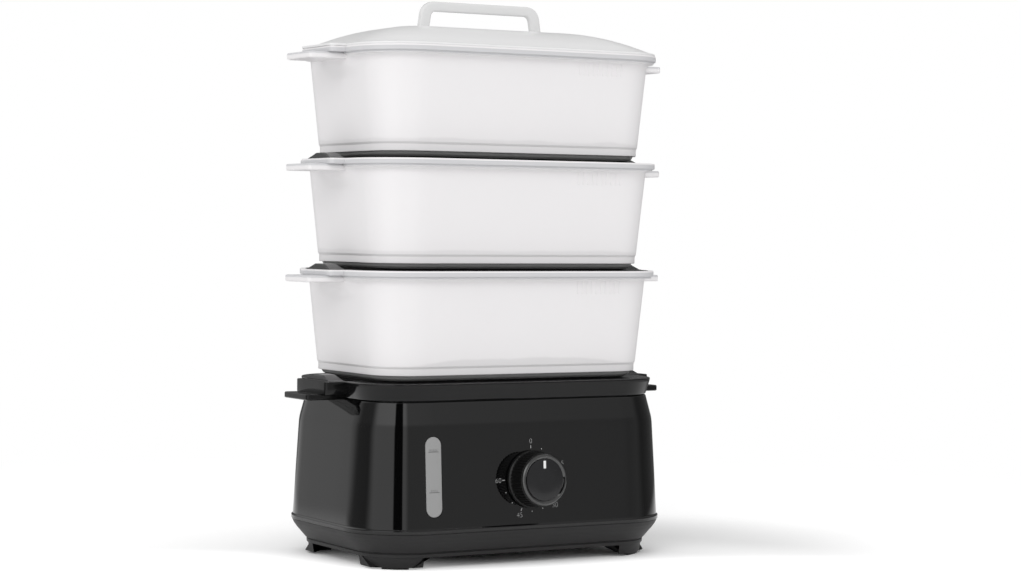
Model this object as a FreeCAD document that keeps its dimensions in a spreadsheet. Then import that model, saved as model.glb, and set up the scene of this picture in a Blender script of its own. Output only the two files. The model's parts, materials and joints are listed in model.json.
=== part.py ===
import FreeCAD, Part
import math
import os
import Sketcher
from FreeCAD import Placement, Rotation, Vector

# Electric food steamer: three stacked baskets over a drip tray and a heated water base.
# Millimetres, +Z up, front (dial side) towards -Y, origin on the floor under the middle.
# Every outline in plan is one rounded rectangle, set in or out by an offset from the tray rim.

SIZES = (
    # The plan outline that every tier shares, measured at the drip tray's rim
    ("rim_length", 270.0),
    ("rim_depth", 173.0),
    ("rim_corner", 44.5),
    # The dial stands out further than the grommet, so the middle of the whole is in front
    ("origin_shift", 8.3),
    # Levels
    ("pad_height", 1.5),
    ("foot_height", 7.8),
    ("seam_level", 29.0),
    ("housing_top", 131.3),
    ("tray_height", 13.5),
    ("tier_pitch", 88.2),
    # Base housing and plinth
    ("housing_wall", 2.5),
    ("lip_proud", 7.4),
    ("lip_height", 3.0),
    ("flank_low_proud", 6.2),
    ("flank_top_level", 109.0),
    ("flank_top_proud", 1.6),
    ("shoulder_rise", 4.5),
    ("shoulder_proud", 0.9),
    ("neck_inset", 3.9),
    ("deck_inset", 14.0),
    ("plinth_wall", 2.2),
    ("groove_level", 12.6),
    ("groove_inset", 5.0),
    ("foot_reach", 44.0),
    ("foot_flank", 14.5),
    ("boss_x", 113.0),
    ("boss_y", 38.0),
    ("boss_width", 9.0),
    ("boss_height", 26.0),
    ("screw_diameter", 3.5),
    ("screw_head", 6.6),
    # Water reservoir and heater
    ("tub_length", 206.0),
    ("tub_depth", 108.0),
    ("tub_corner", 26.0),
    ("tub_back", 14.0),
    ("tub_floor_level", 50.0),
    ("tub_wall", 2.0),
    ("tub_flange", 1.2),
    ("heater_bore", 60.0),
    ("heater_diameter", 80.0),
    ("heater_thickness", 3.0),
    ("gasket_thickness", 1.2),
    ("heater_screw_circle", 35.0),
    ("element_radius", 21.0),
    ("element_tube", 6.5),
    ("steam_ring_diameter", 98.0),
    ("steam_ring_height", 46.0),
    # Water window
    ("window_x", -88.0),
    ("window_level", 73.3),
    ("window_width", 14.4),
    ("window_height", 63.5),
    ("window_lens", 2.6),
    ("gauge_depth", 9.0),
    # Timer and knob
    ("knob_level", 68.3),
    ("knob_base", 46.0),
    ("knob_face", 41.6),
    ("knob_height", 22.0),
    ("knob_wall", 2.4),
    ("flute_count", 48.0),
    ("flute_diameter", 1.5),
    ("face_recess", 0.8),
    ("bezel_width", 4.2),
    ("shaft_diameter", 6.0),
    ("shaft_bore", 9.0),
    ("timer_width", 46.0),
    ("timer_depth", 26.0),
    ("bracket_thickness", 1.6),
    ("bracket_standoff", 5.0),
    # Rim, ledge, end lobes and grips shared by the drip tray and the baskets
    ("land_inset", 2.2),
    ("ledge_drop", 2.0),
    ("cavity_inset", 5.0),
    ("lobe_reach", 14.0),
    ("lobe_width", 56.0),
    ("lobe_wall", 2.2),
    ("grip_reach", 30.0),
    ("grip_width", 44.6),
    ("grip_thickness", 4.8),
    ("tray_floor", 2.0),
    ("chimney_length", 128.0),
    ("chimney_width", 54.0),
    ("chimney_height", 5.0),
    # Basket walls
    ("basket_depth", 81.0),
    ("basket_wall_thickness", 2.2),
    ("basket_taper", 0.107),
    ("basket_top_inset", 4.9),
    ("band_proud", 1.8),
    ("band_height", 4.6),
    ("foot_step", 3.3),
    ("pocket_reach", 7.0),
    ("pocket_depth", 16.0),
    ("pocket_ramp", 6.0),
    ("rib_pitch", 4.4),
    ("rib_height", 10.5),
    # Basket bases
    ("seat_clearance", 0.4),
    ("flange_thickness", 2.2),
    ("floor_thickness", 2.0),
    ("floor_rise", 3.5),
    ("spigot_rise", 12.0),
    ("neck_foot_inset", 25.0),
    ("hole_diameter", 6.0),
    ("hole_pitch", 13.0),
    ("ear_rise", 4.4),
    ("ear_length", 42.0),
    ("ear_crest", 14.0),
    # Lid
    ("lid_thickness", 2.0),
    ("lid_overhang", 1.0),
    ("dome_height", 17.5),
    ("dome_inset", 1.5),
    ("plateau_length", 136.0),
    ("plateau_width", 34.0),
    ("skirt_depth", 15.0),
    ("skirt_inset", 9.6),
    ("handle_span", 115.0),
    ("handle_lean", 3.4),
    ("handle_height", 22.0),
    ("handle_leg", 9.2),
    ("handle_bar", 8.0),
    ("handle_thickness", 6.0),
    ("handle_outer_radius", 12.0),
    ("handle_inner_radius", 4.5),
)

os.makedirs("parts", exist_ok=True)
doc = FreeCAD.newDocument("food_steamer")
sheet = doc.addObject("Spreadsheet::Sheet", "Sizes")
for row, (alias, value) in enumerate(SIZES, 1):
    sheet.set("A%d" % row, alias)
    sheet.set("B%d" % row, str(value))
    sheet.setAlias("B%d" % row, alias)
doc.recompute()


class Size:
    """A length that knows its value and the sheet formula that it comes from."""

    def __init__(self, value, text):
        self.value = float(value)
        self.text = text

    @staticmethod
    def of(other):
        if isinstance(other, Size):
            return other
        return Size(other, "(%.6g)" % other)

    def __add__(self, other):
        other = Size.of(other)
        return Size(self.value + other.value, "(%s + %s)" % (self.text, other.text))

    def __sub__(self, other):
        other = Size.of(other)
        return Size(self.value - other.value, "(%s - %s)" % (self.text, other.text))

    def __mul__(self, other):
        other = Size.of(other)
        return Size(self.value * other.value, "(%s * %s)" % (self.text, other.text))

    def __truediv__(self, other):
        other = Size.of(other)
        return Size(self.value / other.value, "(%s / %s)" % (self.text, other.text))

    def __neg__(self):
        return Size(-self.value, "(-%s)" % self.text)

    def root(self):
        return Size(math.sqrt(self.value), "sqrt(%s)" % self.text)

    __radd__ = __add__

    def __rsub__(self, other):
        return Size.of(other) - self

    def __rmul__(self, other):
        return self * other


def size(alias):
    """The named driving dimension."""
    return Size(sheet.get(alias), "Sizes." + alias)


half_length = size("rim_length") / 2
half_depth = size("rim_depth") / 2
rim_corner = size("rim_corner")
plinth_bottom = size("pad_height") + size("foot_height")
housing_top = size("housing_top")
tray_bottom = housing_top + 0.5
tray_rim = tray_bottom + size("tray_height")
NODES = []
REPEATS = []
# Where the bodies built about their own origins stand front to back
STANDS = {}
OWN_BACK = {}


def bind(thing, prop, length):
    """Set a property from a size and tie it to the sheet."""
    setattr(thing, prop, length.value)
    thing.setExpression(prop, length.text)


def plane_of(body, role):
    for feature in body.Origin.OriginFeatures:
        if feature.Role == role:
            return feature
    raise ValueError(role)


def new_body(label, many=False):
    body = doc.addObject("PartDesign::Body", label)
    body.Label = label
    body.AllowCompound = many
    NODES.append(body)
    return body


def new_sketch(body, plane, level):
    """A sketch on one of the body's origin planes, moved along its normal by a size."""
    sketch = body.newObject("Sketcher::SketchObject", body.Name + "_sketch")
    sketch.AttachmentSupport = [(plane_of(body, plane), "")]
    sketch.MapMode = "FlatFace"
    level = Size.of(level)
    sketch.AttachmentOffset = Placement(Vector(0, 0, level.value), Rotation())
    sketch.setExpression("AttachmentOffset.Base.z", level.text)
    return sketch


def tie(sketch, plain, sized):
    """Add constraints to a sketch at once, and tie the sized ones to the sheet."""
    sketch.addConstraint(plain + [constraint for constraint, _ in sized])
    first = sketch.ConstraintCount - len(sized)
    for index, (_, length) in enumerate(sized, first):
        name = "size_%d" % index
        sketch.renameConstraint(index, name)
        sketch.setExpression("Constraints." + name, Size.of(length).text)


def segment(start, end):
    return Part.LineSegment(Vector(start[0], start[1], 0), Vector(end[0], end[1], 0))


def arc(x, y, radius, quarter):
    """A quarter circle that starts at the given quarter turn."""
    circle = Part.Circle(Vector(x, y, 0), Vector(0, 0, 1), radius)
    start = quarter * math.pi / 2
    return Part.ArcOfCircle(circle, start, start + math.pi / 2)


def add_rounded(sketch, half_x, half_y, corner, x=0, y=0):
    """A rounded rectangle about a point, fully tied to its half sides, corner and centre."""
    half_x, half_y, corner, x, y = (Size.of(v) for v in (half_x, half_y, corner, x, y))
    a, b, r, cx, cy = (v.value for v in (half_x, half_y, corner, x, y))
    first = sketch.GeometryCount
    lines_and_arcs = (
        segment((cx - a + r, cy - b), (cx + a - r, cy - b)),
        arc(cx + a - r, cy - b + r, r, 3),
        segment((cx + a, cy - b + r), (cx + a, cy + b - r)),
        arc(cx + a - r, cy + b - r, r, 0),
        segment((cx + a - r, cy + b), (cx - a + r, cy + b)),
        arc(cx - a + r, cy + b - r, r, 1),
        segment((cx - a, cy + b - r), (cx - a, cy - b + r)),
        arc(cx - a + r, cy - b + r, r, 2),
    )
    for item in lines_and_arcs:
        sketch.addGeometry(item, False)
    plain = [Sketcher.Constraint("Tangent", first + k, 2, first + (k + 1) % 8, 1)
             for k in range(8)]
    for k, kind in ((0, "Horizontal"), (2, "Vertical"), (4, "Horizontal"), (6, "Vertical")):
        plain.append(Sketcher.Constraint(kind, first + k))
    for k in (1, 3, 5):
        plain.append(Sketcher.Constraint("Equal", first + k, first + k + 2))
    tie(sketch, plain, [
        (Sketcher.Constraint("DistanceX", -1, 1, first + 2, 1, cx + a), x + half_x),
        (Sketcher.Constraint("DistanceX", -1, 1, first + 6, 1, cx - a), x - half_x),
        (Sketcher.Constraint("DistanceY", -1, 1, first + 4, 1, cy + b), y + half_y),
        (Sketcher.Constraint("DistanceY", -1, 1, first, 1, cy - b), y - half_y),
        (Sketcher.Constraint("Radius", first + 1, r), corner),
    ])


def add_polygon(sketch, points):
    """A closed polygon whose corners are each tied to the sheet."""
    points = [(Size.of(x), Size.of(y)) for x, y in points]
    first = sketch.GeometryCount
    count = len(points)
    for k in range(count):
        start, end = points[k], points[(k + 1) % count]
        sketch.addGeometry(segment((start[0].value, start[1].value),
                                   (end[0].value, end[1].value)), False)
    plain = [Sketcher.Constraint("Coincident", first + k, 2, first + (k + 1) % count, 1)
             for k in range(count)]
    sized = []
    for k, (x, y) in enumerate(points):
        sized.append((Sketcher.Constraint("DistanceX", -1, 1, first + k, 1, x.value), x))
        sized.append((Sketcher.Constraint("DistanceY", -1, 1, first + k, 1, y.value), y))
    tie(sketch, plain, sized)


def add_box(sketch, half_x, half_y, x=0, y=0):
    """A plain rectangle about a point."""
    half_x, half_y, x, y = (Size.of(v) for v in (half_x, half_y, x, y))
    add_polygon(sketch, ((x - half_x, y - half_y), (x + half_x, y - half_y),
                         (x + half_x, y + half_y), (x - half_x, y + half_y)))


def add_circles(sketch, radius, places):
    """Equal circles at their places."""
    radius = Size.of(radius)
    sized = []
    for x, y in places:
        x, y = Size.of(x), Size.of(y)
        first = sketch.GeometryCount
        circle = Part.Circle(Vector(x.value, y.value, 0), Vector(0, 0, 1), radius.value)
        sketch.addGeometry(circle, False)
        sized.append((Sketcher.Constraint("DistanceX", -1, 1, first, 3, x.value), x))
        sized.append((Sketcher.Constraint("DistanceY", -1, 1, first, 3, y.value), y))
        sized.append((Sketcher.Constraint("Radius", first, radius.value), radius))
    tie(sketch, [], sized)


def add_circle(sketch, radius, x=0, y=0):
    add_circles(sketch, radius, [(x, y)])


def pad(body, sketch, length, back=False, midplane=False):
    """Raise a sketch along its normal, or against it."""
    feature = body.newObject("PartDesign::Pad", body.Name + "_pad")
    feature.Profile = sketch
    bind(feature, "Length", Size.of(length))
    feature.Reversed = back
    feature.Midplane = midplane
    doc.recompute()
    return feature


def pocket(body, sketch, length, along=False):
    """Cut a sketch against its normal, or along it, and make sure that it cut something."""
    before = body.Shape.Volume
    feature = body.newObject("PartDesign::Pocket", body.Name + "_pocket")
    feature.Profile = sketch
    bind(feature, "Length", Size.of(length))
    feature.Reversed = along
    doc.recompute()
    if not feature.Shape.Volume < before - 0.01:
        raise RuntimeError(body.Label + ": a pocket cut nothing")
    return feature


def loft(body, rings, cut=False, y=0):
    """Join rounded rectangles, each a level, two half sides and a corner, by straight flanks."""
    sketches = []
    for level, half_x, half_y, corner in rings:
        sketch = new_sketch(body, "XY_Plane", level)
        add_rounded(sketch, half_x, half_y, corner, 0, y)
        sketches.append(sketch)
    kind = "PartDesign::SubtractiveLoft" if cut else "PartDesign::AdditiveLoft"
    feature = body.newObject(kind, body.Name + "_loft")
    feature.Profile = sketches[0]
    feature.Sections = sketches[1:]
    feature.Ruled = True
    doc.recompute()
    return feature


def revolve(body, points, axis="V_Axis", plane="XZ_Plane", cut=False):
    """Turn a polygon about a sketch axis through the origin."""
    sketch = new_sketch(body, plane, 0)
    add_polygon(sketch, points)
    kind = "PartDesign::Groove" if cut else "PartDesign::Revolution"
    feature = body.newObject(kind, body.Name + "_turn")
    feature.Profile = sketch
    feature.ReferenceAxis = (sketch, [axis])
    feature.Angle = 360
    doc.recompute()
    return feature


def ring(level, offset):
    """The shared plan outline at a level, moved out by an offset."""
    return (Size.of(level), half_length + offset, half_depth + offset, rim_corner + offset)


def flat_ring(body, offset, low, high, cut=False):
    """A slab with the shared outline between two levels, added or cut away."""
    sketch = new_sketch(body, "XY_Plane", low)
    add_rounded(sketch, half_length + offset, half_depth + offset, rim_corner + offset)
    if cut:
        return pocket(body, sketch, Size.of(high) - low, along=True)
    return pad(body, sketch, Size.of(high) - low)


def slab(body, half_x, half_y, low, high, x=0, y=0, cut=False):
    """A rectangular slab between two levels, added or cut away."""
    sketch = new_sketch(body, "XY_Plane", low)
    add_box(sketch, half_x, half_y, x, y)
    if cut:
        return pocket(body, sketch, Size.of(high) - low, along=True)
    return pad(body, sketch, Size.of(high) - low)


def bore(body, radius, low, high, places):
    """Upright round holes through a range of levels."""
    sketch = new_sketch(body, "XY_Plane", low)
    add_circles(sketch, radius, places)
    return pocket(body, sketch, Size.of(high) - low, along=True)


def corners(x, y):
    """The four mirrored places of a point."""
    return [(sx * x, sy * y) for sx in (-1, 1) for sy in (-1, 1)]


# The front flank leans back, so the window and the knob sit in a frame tilted with it
flank_rise = size("flank_top_level") - size("seam_level") - size("lip_height") - 1
flank_slope = (size("flank_low_proud") - size("flank_top_proud")) / flank_rise
TILT = math.degrees(math.atan(flank_slope.value))


def flank_proud(level):
    """How far the straight flank stands out from the rim outline at a level."""
    return size("flank_top_proud") + (size("flank_top_level") - level) * flank_slope


def on_flank(body, level, x=0, rear=False):
    """Place a body that was built about its own origin on the front or rear flank."""
    stand = half_depth + flank_proud(level)
    level, x = Size.of(level), Size.of(x)
    if not rear:
        stand = -stand
    turn = Rotation(Vector(1, 0, 0), TILT if rear else -TILT)
    body.Placement = Placement(Vector(x.value, stand.value, level.value), turn)
    body.setExpression("Placement.Base.x", x.text)
    body.setExpression("Placement.Base.z", level.text)
    STANDS[body.Name] = stand


# Base housing
def housing_rings(inset):
    """The gloss shell's outline from seam to neck, moved in by a wall."""
    seam, lip = size("seam_level"), size("lip_height")
    flank = size("flank_top_level")
    return [
        ring(seam, size("lip_proud") - inset),
        ring(seam + lip, size("lip_proud") - inset),
        ring(seam + lip + 1, size("flank_low_proud") - inset),
        ring(flank, size("flank_top_proud") - inset),
        ring(flank + size("shoulder_rise"), size("shoulder_proud") - inset),
    ]


def obround(sketch, width, height, x=0, y=0):
    """An upright slot with nearly round ends."""
    add_rounded(sketch, width / 2, height / 2, width / 2 - 0.05, x, y)


gland_radius = Size.of(6.0)
gland_x = half_length - 60
gland_level = size("seam_level") + 20


def make_base_housing():
    body = new_body("base_housing")
    wall = size("housing_wall")
    loft(body, housing_rings(0) + [ring(housing_top, -size("neck_inset"))])
    inner_low = housing_rings(wall)[2:]
    skirt = ring(size("seam_level"), size("flank_low_proud") - wall)
    loft(body, [skirt] + inner_low + [ring(housing_top - wall, -size("neck_inset") - wall)], cut=True)
    flat_ring(body, -size("deck_inset"), housing_top - wall - 1, housing_top, cut=True)
    # Screw tongues on the end walls
    boss_low = size("seam_level") + 5
    tongue_in = size("boss_x") - size("boss_width") / 2
    tongue_out = half_length + flank_proud(boss_low) - wall + 0.2
    sketch = new_sketch(body, "XY_Plane", boss_low)
    for sx in (-1, 1):
        for sy in (-1, 1):
            add_box(sketch, (tongue_out - tongue_in) / 2, size("boss_width") / 2,
                    sx * (tongue_out + tongue_in) / 2, sy * size("boss_y"))
    pad(body, sketch, size("boss_height"))
    bore(body, size("screw_diameter") / 2, boss_low, boss_low + size("boss_height") - 3,
         corners(size("boss_x"), size("boss_y")))
    # Window slot, timer shaft hole and cord hole
    front = half_depth + size("lip_proud") + 1
    sketch = new_sketch(body, "XZ_Plane", half_depth - size("deck_inset"))
    obround(sketch, size("window_width"), size("window_height"), size("window_x"),
            size("window_level"))
    add_circle(sketch, size("shaft_bore") / 2, 0, size("knob_level"))
    pocket(body, sketch, front - half_depth + size("deck_inset"), along=True)
    sketch = new_sketch(body, "XZ_Plane", -half_depth + size("deck_inset"))
    add_circle(sketch, gland_radius, gland_x, gland_level)
    pocket(body, sketch, size("deck_inset") + size("lip_proud") + 1)
    return body


# Plinth with its four feet
def footprint(in_x, in_y, inset):
    """A foot's outline: two straight inner sides, and an outer corner inside the groove's arc."""
    radius = rim_corner - size("groove_inset") - inset
    centre_x, centre_y = half_length - rim_corner, half_depth - rim_corner
    across, along = in_x - centre_x, in_y - centre_y
    points = [(in_x, in_y), (centre_x + (radius * radius - along * along).root(), in_y)]
    for angle in (38, 53, 69):
        points.append((centre_x + radius * math.cos(math.radians(angle)),
                       centre_y + radius * math.sin(math.radians(angle))))
    points.append((in_x, centre_y + (radius * radius - across * across).root()))
    return points


def make_plinth():
    body = new_body("bottom_plinth")
    seam, groove = size("seam_level"), size("groove_level")
    wall = size("plinth_wall")
    rise = seam - groove
    shape = ((0.0, size("groove_inset") * -1), (0.06, size("groove_inset") * -0.86),
             (0.30, size("lip_proud") * -0.12), (0.56, size("lip_proud") * 0.37),
             (0.82, size("lip_proud") * 0.72), (1.0, size("lip_proud") * 0.93))
    loft(body, [ring(groove + rise * share, out) for share, out in shape])
    flat_ring(body, -size("groove_inset") - 0.7, groove - 0.5, groove)
    flat_ring(body, -size("groove_inset") - 0.3, plinth_bottom, groove - 0.5)
    floor = plinth_bottom + wall
    flat_ring(body, -size("groove_inset") - wall - 0.7, floor, groove + 0.5, cut=True)
    loft(body, [ring(groove + rise * share, out - wall) for share, out in shape[:1] + shape[2:]],
         cut=True)
    # Feet: blocks under the corners with slanted inner flanks
    reach, flank = size("foot_reach"), size("foot_flank")
    for sx in (-1, 1):
        for sy in (-1, 1):
            sketches = []
            for level, slant, inset in ((size("pad_height"), flank, 2.5), (plinth_bottom, 0, 1.3)):
                sketch = new_sketch(body, "XY_Plane", level)
                in_x = half_length - size("groove_inset") - reach - 1 + slant
                in_y = half_depth - size("groove_inset") - reach * 0.72 - 1 + slant * 0.8
                points = footprint(in_x, in_y, inset)
                add_polygon(sketch, [(sx * x, sy * y) for x, y in points])
                sketches.append(sketch)
            feature = body.newObject("PartDesign::AdditiveLoft", body.Name + "_foot")
            feature.Profile = sketches[0]
            feature.Sections = sketches[1:]
            feature.Ruled = True
            doc.recompute()
    # Bosses that meet the housing's screw tongues
    sketch = new_sketch(body, "XY_Plane", floor - 0.5)
    for x, y in corners(size("boss_x"), size("boss_y")):
        add_circle(sketch, size("boss_width") / 2, x, y)
    pad(body, sketch, seam + 5 - floor + 0.5)
    places = corners(size("boss_x"), size("boss_y"))
    bore(body, size("screw_diameter") / 2 + 0.2, plinth_bottom, seam + 5, places)
    bore(body, size("screw_head") / 2 + 0.2, plinth_bottom, plinth_bottom + 2.6, places)
    return body


def make_foot_pads():
    body = new_body("foot_pads", many=True)
    reach, flank = size("foot_reach"), size("foot_flank")
    sketch = new_sketch(body, "XY_Plane", 0)
    in_x = half_length - size("groove_inset") - reach + 1 + flank
    in_y = half_depth - size("groove_inset") - reach * 0.72 + 1 + flank * 0.8
    for sx in (-1, 1):
        for sy in (-1, 1):
            points = footprint(in_x, in_y, 4.5)
            add_polygon(sketch, [(sx * x, sy * y) for x, y in points])
    pad(body, sketch, size("pad_height"))
    return body


def make_fasteners(label, places, head_diameter, head_height, length, head_down=True):
    """Identical pan head screws, each a head and a shank standing on its own place."""
    screws = []
    for x, y, z in places:
        head = doc.addObject("Part::Cylinder", label + "_head")
        bind(head, "Radius", Size.of(head_diameter) / 2)
        bind(head, "Height", Size.of(head_height))
        shank = doc.addObject("Part::Cylinder", label + "_shank")
        bind(shank, "Radius", size("screw_diameter") / 2 - 0.1)
        bind(shank, "Height", Size.of(length))
        step = Size.of(head_height) if head_down else -Size.of(length)
        x, y, z = Size.of(x), Size.of(y), Size.of(z)
        for piece, level in ((head, z), (shank, z + step)):
            piece.Placement = Placement(Vector(x.value, y.value, level.value), Rotation())
            piece.setExpression("Placement.Base.x", x.text)
            piece.setExpression("Placement.Base.y", y.text)
            piece.setExpression("Placement.Base.z", level.text)
        screw = doc.addObject("Part::Fuse", label + "_screw")
        screw.Base = head
        screw.Tool = shank
        screws.append(screw)
    group = doc.addObject("Part::Compound", label)
    group.Label = label
    group.Links = screws
    NODES.append(group)
    return group


# Water reservoir that hangs in the housing's deck
tub_half_x = size("tub_length") / 2
tub_half_y = size("tub_depth") / 2
tub_floor_top = size("tub_floor_level") + size("tub_wall")
heater_screws_at = [
    (size("heater_screw_circle") * math.cos(math.radians(angle)),
     size("tub_back") + size("heater_screw_circle") * math.sin(math.radians(angle)))
    for angle in (90, 210, 330)
]
gauge_pipe = Size.of(4.0)
gauge_level = tub_floor_top + 10


def make_water_reservoir():
    body = new_body("water_reservoir")
    wall = size("tub_wall")
    flat_ring(body, -size("deck_inset") + 4, housing_top, housing_top + size("tub_flange"))
    sketch = new_sketch(body, "XY_Plane", size("tub_floor_level"))
    add_rounded(sketch, tub_half_x, tub_half_y, size("tub_corner"), 0, size("tub_back"))
    pad(body, sketch, housing_top - size("tub_floor_level") + 0.5)
    sketch = new_sketch(body, "XY_Plane", tub_floor_top)
    add_rounded(sketch, tub_half_x - wall, tub_half_y - wall, size("tub_corner") - wall, 0,
                size("tub_back"))
    pocket(body, sketch, housing_top + size("tub_flange") - tub_floor_top, along=True)
    bore(body, size("heater_bore") / 2, size("tub_floor_level"), tub_floor_top,
         [(0, size("tub_back"))])
    bore(body, size("screw_diameter") / 2 + 0.2, size("tub_floor_level"), tub_floor_top,
         heater_screws_at)
    # Port that feeds the water gauge
    sketch = new_sketch(body, "XZ_Plane", tub_half_y - size("tub_back") - 9)
    add_circle(sketch, gauge_pipe + 0.2, size("window_x"), gauge_level)
    pocket(body, sketch, 10, along=True)
    return body


def make_heater():
    """Plate, sealing ring and clamp ring on one axis, and the tube element under the plate."""
    back = size("tub_back")
    rim = size("heater_diameter") / 2
    bore_radius = size("heater_bore") / 2
    gasket = new_body("heater_gasket")
    sketch = new_sketch(gasket, "XY_Plane", tub_floor_top)
    add_circle(sketch, rim - 1, 0, back)
    add_circle(sketch, bore_radius + 0.4, 0, back)
    for x, y in heater_screws_at:
        add_circle(sketch, size("screw_diameter") / 2 + 0.2, x, y)
    pad(gasket, sketch, size("gasket_thickness"))
    plate = new_body("heater_plate")
    low = tub_floor_top + size("gasket_thickness")
    under = size("tub_floor_level") - 1
    sketch = new_sketch(plate, "XY_Plane", low)
    add_circle(sketch, rim, 0, back)
    pad(plate, sketch, size("heater_thickness"))
    sketch = new_sketch(plate, "XY_Plane", under)
    add_circle(sketch, bore_radius - 0.4, 0, back)
    pad(plate, sketch, low - under + 0.5)
    bore(plate, size("screw_diameter") / 2, low, low + size("heater_thickness") - 0.8,
         heater_screws_at)
    clamp = new_body("heater_clamp")
    sketch = new_sketch(clamp, "XY_Plane", size("tub_floor_level") - size("bracket_thickness"))
    add_circle(sketch, rim - 1, 0, back)
    add_circle(sketch, bore_radius + 0.4, 0, back)
    for x, y in heater_screws_at:
        add_circle(sketch, size("screw_diameter") / 2 + 0.2, x, y)
    pad(clamp, sketch, size("bracket_thickness"))
    head = 2.2
    screw_top = low + size("heater_thickness") - 0.9
    screw_low = size("tub_floor_level") - size("bracket_thickness") - head
    make_fasteners("heater_screws", [(x, y, screw_low) for x, y in heater_screws_at],
                   size("screw_head"), head, screw_top - screw_low - head)
    # Tube element: three quarters of a ring with two upright tails
    tube = size("element_tube") / 2
    level = under - tube - 0.1
    torus = doc.addObject("Part::Torus", "element_ring")
    bind(torus, "Radius1", size("element_radius"))
    bind(torus, "Radius2", tube)
    torus.Angle3 = 300
    torus.Placement = Placement(Vector(0, back.value, level.value), Rotation(Vector(0, 0, 1), -60))
    torus.setExpression("Placement.Base.y", back.text)
    torus.setExpression("Placement.Base.z", level.text)
    tails = []
    for angle in (-60, 240):
        tail = doc.addObject("Part::Cylinder", "element_tail")
        bind(tail, "Radius", tube)
        bind(tail, "Height", tube * 4)
        x = size("element_radius") * math.cos(math.radians(angle))
        y = back + size("element_radius") * math.sin(math.radians(angle))
        z = level - tube * 4
        tail.Placement = Placement(Vector(x.value, y.value, z.value), Rotation())
        tail.setExpression("Placement.Base.x", x.text)
        tail.setExpression("Placement.Base.y", y.text)
        tail.setExpression("Placement.Base.z", z.text)
        tails.append(tail)
    element = doc.addObject("Part::MultiFuse", "heater_element")
    element.Label = "heater_element"
    element.Shapes = [torus] + tails
    NODES.append(element)
    # Thermostat button and thermal fuse against the plate, inside the ring
    thermostat = new_body("thermostat")
    sketch = new_sketch(thermostat, "XY_Plane", under)
    add_circle(sketch, 8, 0, back - 4)
    pad(thermostat, sketch, 5, back=True)
    sketch = new_sketch(thermostat, "XY_Plane", under - 5)
    add_box(sketch, 6, 3.2, 0, back - 4)
    pad(thermostat, sketch, 6, back=True)
    fuse = doc.addObject("Part::Cylinder", "thermal_fuse")
    fuse.Label = "thermal_fuse"
    fuse.Radius = 2.2
    fuse.Height = 15
    fuse_y, fuse_z = back + 11, under - 2.3
    fuse.Placement = Placement(Vector(-7.5, fuse_y.value, fuse_z.value), Rotation(Vector(0, 1, 0), 90))
    OWN_BACK[fuse.Name] = fuse_y
    fuse.setExpression("Placement.Base.z", fuse_z.text)
    NODES.append(fuse)


def make_steam_ring():
    """Tapered ring that stands on the reservoir floor round the heater, notched for water."""
    body = new_body("steam_ring")
    radius = size("steam_ring_diameter") / 2
    height = size("steam_ring_height")
    wall = size("tub_wall")
    revolve(body, ((radius - wall, 0), (radius, 0), (radius * 0.92, height),
                   (radius * 0.92 - wall, height)))
    sketch = new_sketch(body, "XZ_Plane", radius * -1.1)
    add_box(sketch, 6, 4, 0, 4)
    pocket(body, sketch, radius * 2.2, along=True)
    sketch = new_sketch(body, "YZ_Plane", radius * -1.1)
    add_box(sketch, 6, 4, 0, 4)
    pocket(body, sketch, radius * 2.2, along=True)
    place = Vector(0, size("tub_back").value, tub_floor_top.value)
    body.Placement = Placement(place, Rotation())
    body.setExpression("Placement.Base.z", tub_floor_top.text)
    OWN_BACK[body.Name] = size("tub_back")
    return body


# Water window, its seal and the gauge cell behind it, in the flank's tilted frame
def make_window():
    wall = size("housing_wall")
    width, height = size("window_width"), size("window_height")
    lens = new_body("water_level_window")
    behind = wall + 0.65
    sketch = new_sketch(lens, "XZ_Plane", -behind)
    obround(sketch, width - 0.5, height - 0.8)
    pad(lens, sketch, behind + 0.1)
    sketch = new_sketch(lens, "XZ_Plane", -behind)
    obround(sketch, width + 5, height + 5)
    pad(lens, sketch, size("window_lens") - 1.0, back=True)
    flange_back = behind + size("window_lens") - 1.0
    seal = new_body("window_seal")
    sketch = new_sketch(seal, "XZ_Plane", -flange_back)
    obround(sketch, width + 5, height + 5)
    obround(sketch, width, height)
    pad(seal, sketch, 1.0, back=True)
    cell = new_body("gauge_cell")
    sketch = new_sketch(cell, "XZ_Plane", -flange_back - 1)
    obround(sketch, width + 5, height + 5)
    pad(cell, sketch, size("gauge_depth"), back=True)
    sketch = new_sketch(cell, "XZ_Plane", -flange_back - 1)
    obround(sketch, width + 1, height + 1)
    pocket(cell, sketch, size("gauge_depth") - 1.6)
    sketch = new_sketch(cell, "XZ_Plane", -flange_back - size("gauge_depth") + 1.6)
    lean = (flange_back + size("gauge_depth")) * flank_slope
    add_circle(sketch, gauge_pipe + 0.3, 0, gauge_level - size("window_level") + lean)
    pocket(cell, sketch, 4)
    for body in (lens, seal, cell):
        on_flank(body, size("window_level"), size("window_x"))
    # Straight pipe from the cell back to the reservoir's port
    pipe = new_body("gauge_pipe")
    start = half_depth + flank_proud(gauge_level) - flange_back - size("gauge_depth")
    end = tub_half_y - size("tub_back") - 3
    sketch = new_sketch(pipe, "XZ_Plane", end)
    add_circle(sketch, gauge_pipe, size("window_x"), gauge_level)
    add_circle(sketch, gauge_pipe - 1.2, size("window_x"), gauge_level)
    pad(pipe, sketch, start - end)


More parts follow.
